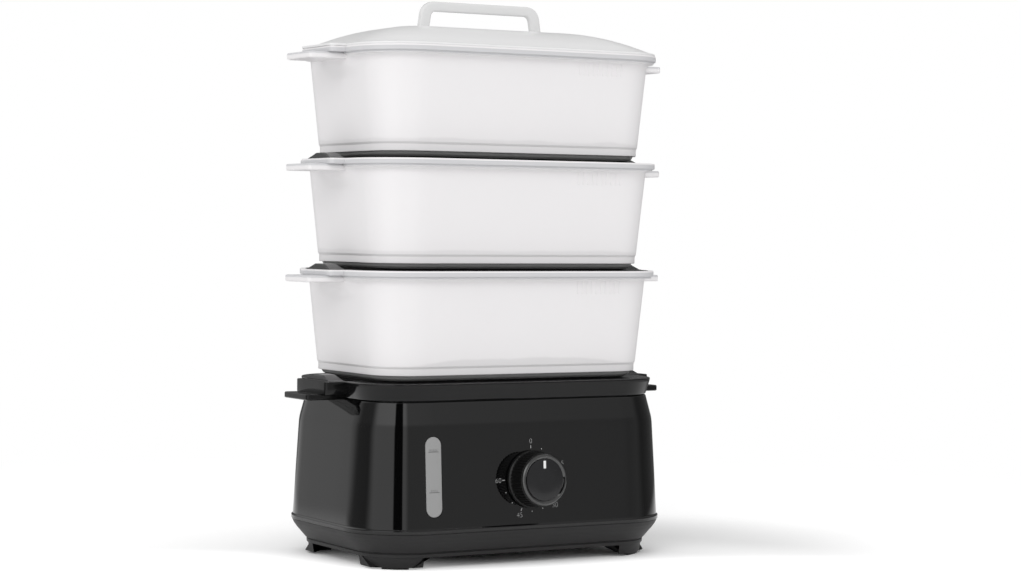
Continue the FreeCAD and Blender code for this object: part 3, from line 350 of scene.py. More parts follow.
def frosted_shade(graph: Graph, shade: bpy.types.NodeSocket) -> bpy.types.NodeSocket:
    """Frosted plastic with a painted shadow near its foot, standing in for the dark base behind it
    showing through softly.

    The painted shadow ends in an uneven line; on the lowest basket it arches up in the middle.
    The rim's outer band, which is thicker, has painted shade: greyer below its bright top edge.

    Args:
        graph: the material's tree.
        shade: the plastic's own colour.

    Returns:
        The shaded colour.
    """
    painted_shadow_grey, painted_rim_shade_grey = (0.28, 0.285, 0.29), (0.66, 0.662, 0.68)
    x, _, z = graph.parts(graph.place())
    level = level_in_tier(z, 0.002)
    lowest = 1.0 - z.between(0.233, 0.234)
    # Painted shadow: below this uneven edge the wall is painted grey, standing in for the dark
    # base behind it
    edge = (graph.noise(22.0, 3.0, (1, 1, 0.2)) - 0.5) * 0.006 + 0.0155
    edge = edge + lowest * (0.003 - x * x * 0.5)
    behind = 1.0 - (level - edge).between(-0.0012, 0.0012)
    shade = graph.blend(behind * 0.12 + lowest * behind * 0.03, shade, painted_shadow_grey)
    # Painted shade: the rim's outer band is painted grey below its bright top edge
    band = level.between(0.0815, 0.0825) * (1.0 - level.between(0.0866, 0.0874))
    return graph.blend(band * 0.85, shade, painted_rim_shade_grey)


def neck_shade(graph: Graph, shade: bpy.types.NodeSocket) -> bpy.types.NodeSocket:
    """A basket base's neck is painted grey above its foot: painted light standing in for the white
    rim below and the bright surroundings reflected in it. The ends and the flange stay dark.

    Args:
        graph: the material's tree.
        shade: the plastic's own colour.

    Returns:
        The shaded colour.
    """
    painted_reflection_grey = (0.33, 0.33, 0.33)
    x, _, z = graph.parts(graph.place())
    level = level_in_tier(z, 0.0)
    # Painted reflection: the neck between its foot and the flange is painted grey, but not at the
    # ends
    neck = level.between(0.0011, 0.0022) * (1.0 - level.between(0.0066, 0.007))
    neck = neck * (1.0 - x.absolute().between(0.122, 0.124))
    return graph.blend(neck, shade, painted_reflection_grey)


GLOSS_BLACK = Finish("polished_black", "gloss_black", (0.002, 0.002, 0.0021), 0.045, 0.02, 0.1,
                     250.0, 0.01, 0.00001)
TRAY_BLACK = Finish("tray_black", "gloss_black", (0.004, 0.004, 0.0042), 0.12, 0.03, 0.1,
                    400.0, 0.04, 0.00002, specular=0.3)
SATIN_BLACK = Finish("satin_black", "satin_black", (0.012, 0.012, 0.0125), 0.2, 0.05, 0.1)
# Black base; its tint paints the neck grey as a painted reflection of the white rim below
BASE_BLACK = Finish("base_black", "satin_black", (0.009, 0.009, 0.0095), 0.22, 0.05, 0.1,
                    tint=neck_shade)
MATT_BLACK = Finish("matt_black", "matte_black", (0.016, 0.0155, 0.016), 0.5, 0.06, 0.1,
                    2600.0, 0.25, 0.00006, specular=0.4)
# Frosted plastic; its tint paints a shadow near each foot and shade on the rim's outer band
FROSTED = Finish("frosted_white", "frosted_white", (0.965, 0.948, 0.957), 0.4, 0.04, 0.01,
                 1500.0, 0.06, 0.00003, transmission=0.13, tint=frosted_shade)
LID_WHITE = Finish("lid_white", "lid_white", (0.885, 0.883, 0.885), 0.3, 0.04, 0.01, 1200.0, 0.05,
                   transmission=0.1)
HANDLE_WHITE = Finish("handle_white", "handle_white", (0.71, 0.71, 0.71), 0.22, 0.04, 0.01,
                      900.0, 0.04)
LENS = Finish("window_lens", "lens_smoke", (0.3, 0.3, 0.3), 0.25, 0.03, 0.05, 700.0, 0.05)
KNOB_SIDE = Finish("knob_side", "knob_black", (0.004, 0.004, 0.004), 0.3, 0.04, 0.1,
                   specular=0.35)
KNOB_FACE = Finish("knob_face_black", "knob_black", (0.005, 0.005, 0.006), 0.22, 0.03, 0.1,
                   1500.0, 0.04)
BEZEL = Finish("bezel_black", "bezel_black", (0.004, 0.004, 0.004), 0.06, 0.02, 0.05,
               specular=1.0, coat=0.5)
PRINT_WHITE = Finish("white_print", "pointer_white", (0.85, 0.85, 0.85), 0.45, 0.03, 0.03)
PRINT_PALE = Finish("pale_print", "pointer_white", (0.42, 0.42, 0.42), 0.5, 0.03, 0.04)
PRINT_GREY = Finish("grey_print", "matte_black", (0.1, 0.1, 0.1), 0.5, 0.02, 0.05)
RUBBER = Finish("soft_rubber", "rubber_black", (0.015, 0.015, 0.015), 0.75, 0.06, 0.15, 1800.0,
                0.3, 0.00008)
SEAL = Finish("seal_rubber", "seal_grey", (0.2, 0.2, 0.2), 0.6, 0.06, 0.1, 1200.0, 0.2)
STEEL = Finish("plain_steel", "steel", (0.5, 0.5, 0.51), 0.32, 0.08, 0.06, 700.0, 0.1,
               metallic=1.0)
STAINLESS = Finish("brushed_stainless", "stainless", (0.6, 0.6, 0.59), 0.3, 0.1, 0.08, 400.0,
                   0.2, 0.00004, (0.05, 1, 1), 1.0)
INNER_GREY = Finish("moulded_grey", "inner_grey", (0.22, 0.22, 0.225), 0.45, 0.06, 0.08)
INNER_WHITE = Finish("moulded_white", "inner_white", (0.66, 0.66, 0.64), 0.45, 0.06, 0.05)
WIRE = Finish("wire_sleeve", "wire_white", (0.55, 0.55, 0.52), 0.4, 0.05, 0.05)
FUSE = Finish("fuse_metal", "fuse_metal", (0.65, 0.65, 0.65), 0.25, 0.05, 0.05, metallic=1.0)

NODES_OF = {
    STEEL: "housing_screws heater_clamp heater_screws timer_bracket timer_nut timer_shaft"
           " lid_screws",
    STAINLESS: "heater_plate heater_element", FUSE: "thermal_fuse",
    INNER_WHITE: "thermostat timer_mechanism terminal_block", WIRE: "internal_wiring",
    INNER_GREY: "steam_ring gauge_cell", SEAL: "heater_gasket window_seal gauge_pipe",
    RUBBER: "cord_gland foot_pads", SATIN_BLACK: "water_reservoir",
    GLOSS_BLACK: "base_housing", MATT_BLACK: "bottom_plinth", LENS: "water_level_window",
    KNOB_SIDE: "timer_knob", BEZEL: "knob_bezel", KNOB_FACE: "knob_face",
    PRINT_WHITE: "knob_pointer", TRAY_BLACK: "drip_tray",
    BASE_BLACK: "basket_base_lower basket_base_middle basket_base_upper",
    FROSTED: "basket_wall_lower basket_wall_middle basket_wall_upper",
    LID_WHITE: "lid_shell", HANDLE_WHITE: "lid_handle",
}
NODE_FINISH = {node: finish for finish, nodes in NODES_OF.items() for node in nodes.split()}


# Surface helpers, all in millimetres until the mesh is made


@dataclass
class Columns:
    """Fixed stations round a rounded rectangle, so that every row has the same ones.

    A station is a share of the way from the middle to the corner centres, and an outward
    direction. A point is the station's centre plus the corner radius along that direction.
    """

    share: np.ndarray
    outward: np.ndarray

    @staticmethod
    def around(arc_steps: int = 14, long_steps: int = 14,
               end_shares: Sequence[float] = ()) -> "Columns":
        """Places the stations, anticlockwise seen from above, from the front right corner.

        Args:
            arc_steps: stations in each corner.
            long_steps: stations along each long side.
            end_shares: where stations go along each short end, from 0 in the middle to 1.

        Returns:
            The stations.
        """
        ends = sorted({-s for s in end_shares} | set(end_shares)) or [-0.5, 0.0, 0.5]
        longs = np.linspace(-1, 1, long_steps + 2)[1:-1]
        shares, outs = [], []
        for quarter in range(4):
            turn = (quarter - 1) * math.pi / 2
            sx = 1 if quarter in (0, 1) else -1
            sy = 1 if quarter in (1, 2) else -1
            for step in range(arc_steps + 1):
                angle = turn + step / arc_steps * math.pi / 2
                shares.append((sx, sy))
                outs.append((math.cos(angle), math.sin(angle)))
            side = ends if quarter % 2 == 0 else longs
            for place in side:
                if quarter % 2 == 0:
                    shares.append((sx, place if quarter == 0 else -place))
                    outs.append((sx, 0))
                else:
                    shares.append((-place if quarter == 1 else place, sy))
                    outs.append((0, sy))
        return Columns(np.array(shares, float), np.array(outs, float))

    def ring(self, half_x: float, half_y: float, corner: float) -> np.ndarray:
        """The stations of a rounded rectangle.

        Args:
            half_x: half its length.
            half_y: half its width.
            corner: its corner radius.

        Returns:
            An array of points in plan.
        """
        corner = max(corner, 1e-4)
        reach = np.array([half_x - corner, half_y - corner])
        return self.share * reach + self.outward * corner


def rounded(points: Sequence[Pair], radii: Sequence[float], steps: int = 5,
            closed: bool = False, hold: float = 0.5) -> list[Pair]:
    """A profile whose corners are rounded.

    Each corner is replaced by a circular arc that touches both of its lines, and a point is kept
    a little way along each line, so that smooth shading leaves the flat part flat.

    Args:
        points: the corners, each two numbers.
        radii: one radius to a corner; nought keeps it sharp.
        steps: how many pieces an arc has.
        closed: whether the profile runs round to its start.
        hold: how far from the arc the kept points are.

    Returns:
        The new points.
    """
    made: list[Pair] = []
    count = len(points)
    for index, radius in enumerate(radii):
        here = np.array(points[index], float)
        inner = closed or 0 < index < count - 1
        if radius <= 0 or not inner:
            made.append(tuple(here))
            continue
        back = np.array(points[index - 1], float) - here
        ahead = np.array(points[(index + 1) % count], float) - here
        room = (np.linalg.norm(back), np.linalg.norm(ahead))
        back, ahead = back / room[0], ahead / room[1]
        half = math.acos(float(np.clip(back @ ahead, -1, 1))) / 2
        run = min(radius / math.tan(half), 0.47 * room[0], 0.47 * room[1])
        radius = run * math.tan(half)
        middle = (back + ahead) / np.linalg.norm(back + ahead) * radius / math.sin(half) + here
        first, last = here + back * run, here + ahead * run
        keep = min(hold, (0.49 * min(room) - run) * 0.9)
        if keep > 0.01:
            made.append(tuple(first + back * keep))
        start, end = first - middle, last - middle
        turn = math.atan2(start[0] * end[1] - start[1] * end[0], start @ end)
        for step in range(steps + 1):
            angle = turn * step / steps
            c, s = math.cos(angle), math.sin(angle)
            made.append((middle[0] + c * start[0] - s * start[1],
                         middle[1] + s * start[0] + c * start[1]))
        if keep > 0.01:
            made.append(tuple(last + ahead * keep))
    return made


def linked(name: str, data: bpy.types.ID) -> bpy.types.Object:
    """Makes an object at the origin and links it to the scene."""
    made = bpy.data.objects.new(name, data)
    bpy.context.scene.collection.objects.link(made)
    return made


@dataclass
class Surface:
    """Points and faces that become one mesh."""

    points: list[np.ndarray] = field(default_factory=list)
    faces: list[np.ndarray] = field(default_factory=list)
    caps: list[list[int]] = field(default_factory=list)
    total: int = 0

    def grid(self, rows: np.ndarray, closed: bool = False, low_cap: bool = False,
             high_cap: bool = False) -> "Surface":
        """Adds a grid of rows, each a closed ring.

        Args:
            rows: an array of rows by stations by three.
            closed: whether the last row joins the first.
            low_cap: whether the first ring is filled.
            high_cap: whether the last ring is filled.

        Returns:
            This surface.
        """
        count, wide = rows.shape[:2]
        index = np.arange(count * wide).reshape(count, wide) + self.total
        upper = np.roll(index, -1, 0) if closed else index[1:]
        lower = index if closed else index[:-1]
        quads = np.stack([lower, np.roll(lower, -1, 1), np.roll(upper, -1, 1), upper], -1)
        self.points.append(rows.reshape(-1, 3))
        self.faces.append(quads.reshape(-1, 4))
        if low_cap:
            self.caps.append(list(index[0][::-1]))
        if high_cap:
            self.caps.append(list(index[-1]))
        self.total += count * wide
        return self

    def solid(self, rows: np.ndarray) -> "Surface":
        """Adds a grid whose first and last rings are filled."""
        return self.grid(rows, low_cap=True, high_cap=True)

    def moved(self, matrix: Matrix) -> "Surface":
        """Carries every point to a new place.

        Args:
            matrix: the turn and shift, in millimetres.

        Returns:
            This surface.
        """
        turn = np.array(matrix.to_3x3())
        shift = np.array(matrix.translation)
        self.points = [block @ turn.T + shift for block in self.points]
        return self

    def mesh(self, name: str) -> bpy.types.Mesh:
        """The mesh in metres, moved back to where the solid parts stand.

        Args:
            name: the mesh's name.

        Returns:
            The mesh.
        """
        made = bpy.data.meshes.new(name)
        points = (np.concatenate(self.points) + BACK) * MM
        quads = [tuple(int(v) for v in face) for block in self.faces for face in block]
        made.from_pydata(points, [], quads + [tuple(int(v) for v in cap) for cap in self.caps])
        return made

    def join(self, other: "Surface") -> "Surface":
        """Takes in another surface's points and faces.

        Args:
            other: that surface.

        Returns:
            This surface.
        """
        self.points += other.points
        self.faces += [block + self.total for block in other.faces]
        self.caps += [[v + self.total for v in cap] for cap in other.caps]
        self.total += other.total
        return self

    def piece(self, name: str, finish: Finish, body: str, *nodes: str,
              sharp: float = 40.0) -> bpy.types.Object:
        """Makes the mesh, dresses it, puts it on its body and lets it stand for its nodes.

        Args:
            name: the piece's name.
            finish: what it is made of.
            body: the body it moves with.
            nodes: the solid parts it stands for.
            sharp: edges that turn more than this many degrees stay sharp.

        Returns:
            The piece.
        """
        mesh = self.mesh(name)
        mesh.validate()
        mesh.shade_smooth()
        mesh.set_sharp_from_angle(angle=math.radians(sharp))
        made = linked(name, mesh)
        finish.dress(made)
        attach(made, body)
        if nodes:
            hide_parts(*nodes)
        log.info("%s: %d faces on %s", name, len(mesh.polygons), body)
        return made


@dataclass
class Plan:
    """The outline that the tiers share, at the drip tray's rim."""

    half_length: float = 135.0
    half_depth: float = 86.5
    corner: float = 44.5
    lobe_half: float = 28.0
    lobe_recess_half: float = 25.8
    grip_half: float = 22.3

    def columns(self) -> Columns:
        """Stations with extra ones beside the end lobes' edges and across the grips.

        Returns:
            The stations.
        """
        side = self.half_depth - self.corner
        marks = (self.lobe_recess_half - 0.3, self.lobe_recess_half, self.lobe_half,
                 6.0, 12.0, 16.0, 20.0, 23.0, 31.0, 35.0, 38.5)
        return Columns.around(16, 20, [mark / side for mark in marks])

    def rows(self, profile: Sequence[Pair], columns: Columns | None = None) -> np.ndarray:
        """Carries a profile of offset and level round the outline.

        A point is the corner centre plus the corner radius and offset along the station's
        direction, at the profile's level.

        Args:
            profile: offset and level of each row.
            columns: the stations, where they differ from the outline's own.

        Returns:
            The rows.
        """
        columns = columns or self.columns()
        made = []
        for offset, level in profile:
            flat = columns.ring(self.half_length + offset, self.half_depth + offset,
                                self.corner + offset)
            made.append(np.column_stack([flat, np.full(len(flat), level)]))
        return np.array(made)

    def end_block(self, surface: "Surface", side: Side, rim: float, lobe_low: float,
                  grip: Pair, reach: float = 149.0) -> None:
        """End lobe with a sunk seat in its top, and the grip that stands out below it.

        Args:
            surface: what they are added to.
            side: which short end.
            rim: the level of the tier's rim.
            lobe_low: the level of the lobe's underside.
            grip: the levels of the grip's underside and top.
            reach: how far out the lobe goes from the middle.
        """
        sign = side.value
        recess = [(0.0, -0.8), (0.15, -0.25), (0.7, 0.0), (1.6, 0.0), (2.1, -0.2), (2.2, -0.6),
                  (2.2, -2.02), (2.6, -2.05)]
        profile = [(0.9, lobe_low), (0.25, lobe_low + 0.25), (0.0, lobe_low + 0.9)]
        profile += [(inset, rim + drop) for inset, drop in recess]
        lobe_root, ledge_edge, ledge_drop = 129.8, 133.2, 2.05
        half = (reach - lobe_root) / 2
        lobe = slab(half, self.lobe_half, 4.0, profile, (sign * (reach - half), 0), 8)
        inner = np.abs(lobe[:, :, 0]) < ledge_edge
        lobe[:, :, 2] = np.where(inner, np.minimum(lobe[:, :, 2], rim - ledge_drop),
                                 lobe[:, :, 2])
        surface.solid(lobe)
        grip_length, grip_middle = 19.3, 145.7
        surface.solid(slab(grip_length, self.grip_half, 3.5, soft_edges(*grip, 1.1),
                           (sign * grip_middle, 0), 8))


def slab(half_x: float, half_y: float, corner: float, profile: Sequence[Pair],
         centre: Pair = (0, 0), steps: int = 6) -> np.ndarray:
    """Rows of a rounded block: each row is the plan moved in by an inset, at a level.

    Args:
        half_x: half the plan's length.
        half_y: half its width.
        corner: its corner radius.
        profile: inset and level of each row, from the bottom up.
        centre: where its middle is in plan.
        steps: stations in each corner.

    Returns:
        The rows.
    """
    columns = Columns.around(steps, 2, (0.5,))
    made = []
    for inset, level in profile:
        flat = columns.ring(half_x - inset, half_y - inset, max(corner - inset, 0.02)) + centre
        made.append(np.column_stack([flat, np.full(len(flat), level)]))
    return np.array(made)


def smooth(share: np.ndarray) -> np.ndarray:
    """Rises from 0 to 1 with level ends: three squares less two cubes of the share."""
    share = np.clip(share, 0.0, 1.0)
    return share * share * (3 - 2 * share)


def soft_edges(low: float, high: float, radius: float, steps: int = 4) -> list[Pair]:
    """Rows of a block with rounded lower and upper edges.

    Each edge is a quarter circle, and the upper one mirrors the lower one.

    Args:
        low: the level of the underside.
        high: the level of the top.
        radius: the edges' radius.
        steps: how many pieces each edge has.

    Returns:
        Inset and level of each row, from the bottom up.
    """
    made = []
    for step in range(steps + 1):
        angle = step / steps * math.pi / 2
        made.append((radius * (1 - math.sin(angle)), low + radius * (1 - math.cos(angle))))
    made.append((0.0, low + radius + 0.2))
    made.append((0.0, high - radius - 0.2))
    made += [(inset, low + high - level) for inset, level in reversed(made[:steps + 1])]
    return made


def cut(piece: bpy.types.Object, tool: Surface, sharp: float = 40.0) -> None:
    """Takes a closed surface's space out of a piece and removes the tool.

    Args:
        piece: what is cut.
        tool: the closed surface.
        sharp: edges that turn more than this many degrees stay sharp.
    """
    other = linked("tool", tool.mesh("tool"))
    change = piece.modifiers.new("opening", "BOOLEAN")
    change.operation = "DIFFERENCE"
    change.object = other
    change.solver = "EXACT"
    bpy.context.view_layer.update()
    graph = bpy.context.evaluated_depsgraph_get()
    made = bpy.data.meshes.new_from_object(piece.evaluated_get(graph))
    piece.modifiers.clear()
    piece.data = made
    made.set_sharp_from_angle(angle=math.radians(sharp))
    bpy.data.objects.remove(other)


@dataclass
class BaseUnit:
    """Gloss housing with its water window, and the matt plinth with four feet."""

    plan: Plan
    seam: float = 29.0
    top: float = 131.3
    wall: float = 2.5
    knob_level: float = 68.3
    window_x: float = -88.0
    window_level: float = 73.3
    window_width: float = 14.4
    window_height: float = 63.5
    flank_low: Pair = (6.2, 33.0)
    flank_high: Pair = (1.6, 109.0)
    tilt: float = field(init=False)

    def __post_init__(self) -> None:
        """Works out how far the front flank leans back."""
        fall = self.flank_low[0] - self.flank_high[0]
        self.tilt = math.atan2(fall, self.flank_high[1] - self.flank_low[1])

    def flank(self, level: float) -> float:
        """How far the flank stands out from the outline at a level, on a straight line."""
        share = (self.flank_high[1] - level) / (self.flank_high[1] - self.flank_low[1])
        return self.flank_high[0] + share * (self.flank_low[0] - self.flank_high[0])

    def on_front(self, x: float, level: float) -> Matrix:
        """The front flank's own frame: x to the right, -y out of the panel, z up the panel."""
        out = self.plan.half_depth + self.flank(level)
        return (Matrix.Translation(Vector((x, -out, level)))
                @ Matrix.Rotation(-self.tilt, 4, "X"))

    def housing(self) -> None:
        """The shell: its outer and inner profiles carried round the outline as one tube."""
        outer = [(7.4, self.seam), (7.4, 32.0), (6.2, 33.0), self.flank_high, (0.9, 113.5),
                 (-3.9, self.top), (-14.0, self.top), (-14.0, self.top - self.wall)]
        inner = [(-6.4, self.top - self.wall), (0.9 - self.wall, 113.5),
                 (1.6 - self.wall, 109.0), (6.2 - self.wall, 33.0), (3.7, self.seam)]
        radii = [0.6, 1.0, 0.8, 30.0, 24.0, 1.4, 0.5, 0.5, 1.5, 2, 2, 1.0, 0.3]
        profile = rounded(outer + inner, radii, 6, closed=True)
        made = Surface().grid(self.plan.rows(profile, Columns.around(28, 40)), closed=True)
        piece = made.piece("housing_shell", GLOSS_BLACK, "base_unit", "base_housing")
        slot = Surface().solid(slab(self.window_width / 2, self.window_height / 2,
                                    self.window_width / 2 - 0.05, [(0, -20), (0, 20)], steps=20))
        cut(piece, slot.moved(self.on_front(self.window_x, self.window_level) @ STAND_UP))

    def window(self) -> None:
        """Smoked lens a little below the panel, with level marks printed on it."""
        width, height = self.window_width - 0.5, self.window_height - 0.8
        frame = self.on_front(self.window_x, self.window_level)
        profile = [(0, -2.5)] + soft_edges(-2.4, 0.05, 0.5)[4:]
        lens = Surface().solid(slab(width / 2, height / 2, width / 2 - 0.05, profile, steps=20))
        lens.moved(frame @ STAND_UP).piece("window_lens", LENS, "base_unit",
                                           "water_level_window")
        for label, rise in (("MAX", 19.6), ("MIN", -12.0)):
            line = Surface().solid(slab(4.6, 0.22, 0.1, [(0, 0.0), (0, 0.12)], (0, rise)))
            line.moved(frame @ STAND_UP).piece("mark_" + label.lower(), PRINT_GREY, "base_unit")
            words(label, 2.5, (0, rise + 1.1), frame, "words_" + label.lower(), PRINT_GREY)

    def plinth(self) -> None:
        """Matt plinth that curves in to a narrow groove, and four feet with slanted flanks."""
        outer = [(-7.9, 11.5), (-7.9, 9.3), (-5.4, 9.3), (-5.3, 12.1), (-5.9, 12.4),
                 (-5.9, 12.8), (-4.3, 13.6), (-0.9, 17.6), (2.75, 21.8), (5.3, 25.4),
                 (6.9, 29.0), (4.7, 29.0), (0.5, 21.8), (-7.2, 13.1)]
        radii = [0, 0.5, 0.8, 0.3, 0.2, 0.2, 0.8, 6, 8, 4, 0.5, 0.5, 3, 0]
        columns = Columns.around(22, 8)
        section = rounded(outer, radii, 4, closed=True)
        shell = Surface().grid(self.plan.rows(section, columns), closed=True)
        shell.solid(self.plan.rows([(-5.8, 9.3), (-5.8, 11.5)], columns))
        for side_x in (-1, 1):
            for side_y in (-1, 1):
                self.foot(shell, side_x, side_y)
        shell.piece("plinth_shell", MATT_BLACK, "base_unit", "bottom_plinth")

    def foot(self, surface: Surface, side_x: int, side_y: int) -> None:
        """One foot: its footprint shrinks from the plinth's floor down to the pad.

        The footprint is a quarter of a rounded rectangle: two straight inner edges, and an outer
        corner that is an arc about the outline's own corner centre. Each level has its own inset
        of that arc, and its own slant of the two straight edges.

        Args:
            surface: what it is added to.
            side_x: -1 for the left feet, 1 for the right ones.
            side_y: -1 for the front feet, 1 for the back ones.
        """
        levels = ((1.5, 1.9, 14.5), (2.3, 1.2, 13.8), (9.6, 0.0, 0.0))
        rows = []
        centre = (self.plan.half_length - self.plan.corner,
                  self.plan.half_depth - self.plan.corner)
        angles = np.linspace(0, math.pi / 2, 17)
        for level, inset, slant in levels:
            radius = self.plan.corner - 6.5 - inset
            arc = np.column_stack([centre[0] + radius * np.cos(angles),
                                   centre[1] + radius * np.sin(angles)])
            left, front = 84.0 + slant, 47.0 + slant * 0.8
            corner = np.array([[left, arc[-1, 1]], [left, front], [arc[0, 0], front]])
            flat = np.concatenate([arc, corner])
            rows.append(np.column_stack([flat * (side_x, side_y), np.full(len(flat), level)]))
        made = np.array(rows)
        if side_x * side_y < 0:
            made = made[:, ::-1]
        surface.solid(made)

    def build(self) -> None:
        """Makes every piece of the base."""
        self.housing()
        self.plinth()
        self.window()


def words(text: str, height: float, centre: Pair, frame: Matrix, name: str, finish: Finish,
          body: str = "base_unit", lift: float = 0.1) -> None:
    """Prints characters on a panel, as a mesh whose place is in its points.

    Args:
        text: the characters.
        height: their height in millimetres.
        centre: their middle, across and up the panel.
        frame: the panel's own frame.
        name: the piece's name.
        finish: the ink.
        body: the body they move with.
        lift: how far they stand out of the panel.
    """
    curve = bpy.data.curves.new(name, "FONT")
    curve.body = text
    size_to_height, thinner = 1.38, -0.026
    curve.size = height * size_to_height
    curve.align_x = "CENTER"
    curve.extrude = 0.02
    curve.offset = thinner * curve.size
    curve.resolution_u = 6
    holder = linked(name + "_curve", curve)
    bpy.context.view_layer.update()
    mesh = bpy.data.meshes.new_from_object(
        holder.evaluated_get(bpy.context.evaluated_depsgraph_get()))
    bpy.data.objects.remove(holder)
    points = np.empty(len(mesh.vertices) * 3)
    mesh.vertices.foreach_get("co", points)
    points = points.reshape(-1, 3)
    points[:, :2] -= (points[:, :2].max(axis=0) + points[:, :2].min(axis=0)) / 2
    placed = np.column_stack([points[:, 0] + centre[0], -lift - points[:, 2],
                              points[:, 1] + centre[1]])
    turn, shift = np.array(frame.to_3x3()), np.array(frame.translation)
    mesh.vertices.foreach_set("co", ((placed @ turn.T + shift + BACK) * MM).ravel())
    mesh.update()
    made = linked(name, mesh)
    mesh.materials.clear()
    finish.dress(made)
    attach(made, body)
    log.info("%s: %d faces on %s", name, len(mesh.polygons), body)


@dataclass
class Dial:
    """Printed minute scale and the turning knob."""

    base: BaseUnit
    degrees_per_minute: float = 4.5
    tick_radius: float = 25.6
    label_radius: float = 30.3
    knob_base: float = 23.0
    knob_face: float = 20.8
    height: float = 22.0
    flutes: int = 48

    def turned(self, profile: Sequence[Pair], steps: int = 128,
               ripple: Callable[[np.ndarray, float], np.ndarray] | None = None) -> np.ndarray:
        """Turns a profile about the knob's axis.

        A point of a ring is its radius, with the ripple added, at an angle round the axis.

        Args:
            profile: radius and distance from the panel of each ring.
            steps: points in a ring.
            ripple: what is added to the radius, from the angles and the distance.

        Returns:
            The rings.
        """
        angle = np.linspace(0, 2 * math.pi, steps, endpoint=False)
        made = []
        for radius, out in profile:
            reach = radius + (ripple(angle, out) if ripple else 0 * angle)
            made.append(np.column_stack([reach * np.cos(angle), np.full(steps, -out),
                                         reach * np.sin(angle)]))
        return np.array(made)

    def knob(self, frame: Matrix) -> None:
        """Fluted cap with its ring, disc and mark.

        Rounded grooves are sunk into the cap's cone between its foot and its front.

        Args:
            frame: the panel's own frame at the dial.
        """
        top, foot, front = self.height, 4.8, self.height - 2.6
        side = [(self.knob_base - 1.0 - 1.3 * t, foot + (front - foot) * t)
                for t in np.linspace(0, 1, 12)]
        profile = ([(self.knob_base - 2.4, 1.4), (self.knob_base - 2.4, 1.0),
                    (self.knob_base - 0.3, 1.0),
                    (self.knob_base, 1.3), (self.knob_base, 3.9), (self.knob_base - 0.3, 4.2)]
                   + side + [(self.knob_face + 0.6, front + 0.35),
                             (self.knob_face - 0.4, front + 0.5),
                             (self.knob_face - 0.5, top - 4), (14.0, top - 4)])

        def ripple(angle: np.ndarray, out: float) -> np.ndarray:
            """Depth of the grooves round the cap, fading in just above the foot.

            Args:
                angle: the angles round the cap.
                out: the ring's distance from the panel.

            Returns:
                What is added to the radius at each angle.
            """
            fade = min(1.0, max(0.0, (out - foot) / 0.8)) * (1.0 if out <= front + 0.4 else 0.0)
            wave = np.abs(np.sin(angle * self.flutes / 2)) ** 0.7
            return -0.62 * fade * (1 - wave)

        made = Surface().solid(self.turned(profile, self.flutes * 10, ripple))
        made.moved(frame).piece("knob_cap", KNOB_SIDE, "timer_dial", "timer_knob", sharp=50)
        face = self.knob_face
        ring = rounded([(face - 0.5, top - 4.0), (face - 0.5, top - 1.2), (face - 1.6, top),
                        (face - 2.6, top), (16.6, top - 1.2), (16.6, top - 4.0)],
                       [0, 0.4, 0.9, 0.9, 0.2, 0], 4, closed=True)
        bezel = Surface().grid(self.turned(ring, 160), closed=True)
        bezel.moved(frame).piece("knob_ring", BEZEL, "timer_dial", "knob_bezel")
        disc = [(16.55, top - 4), (16.55, top - 0.85), (16.4, top - 0.8), (8, top - 0.8),
                (4, top - 0.8)]
        Surface().solid(self.turned(disc, 128)).moved(frame).piece(
            "knob_disc", KNOB_FACE, "timer_dial", "knob_face")
        mark = slab(1.1, 3.0, 0.25, [(0, top - 1.2), (0, top - 0.74), (0.06, top - 0.7)],
                    (0, 12.0))
        Surface().solid(mark).moved(frame @ STAND_UP).piece(
            "knob_mark", PRINT_WHITE, "timer_dial", "knob_pointer")

    def scale(self, frame: Matrix) -> None:
        """Figures every 15 minutes and dots every five, clockwise from nought at the top.

        Args:
            frame: the panel's own frame at the dial.
        """
        dots = Surface()
        for minute in range(0, 61, 5):
            angle = math.radians(90 - self.degrees_per_minute * minute)
            long = 1.25 if minute % 15 == 0 else 0.5
            tick = Surface().solid(slab(long, 0.32, 0.3, [(0, 0.02), (0, 0.1)]))
            turn = Matrix.Rotation(angle, 4, "Z")
            shift = Matrix.Translation(Vector((self.tick_radius, 0, 0)))
            dots.join(tick.moved(turn @ shift))
            if minute % 15 == 0:
                centre = (self.label_radius * math.cos(angle), self.label_radius * math.sin(angle))
                words(str(minute), 4.2, centre, frame, "figure_%d" % minute, PRINT_PALE,
                      lift=0.06)
        dots.moved(frame @ STAND_UP).piece("minute_ticks", PRINT_PALE, "base_unit")

    def build(self) -> None:
        """Makes the knob and its printed scale."""
        frame = self.base.on_front(0, self.base.knob_level)
        self.knob(frame)
        self.scale(frame)


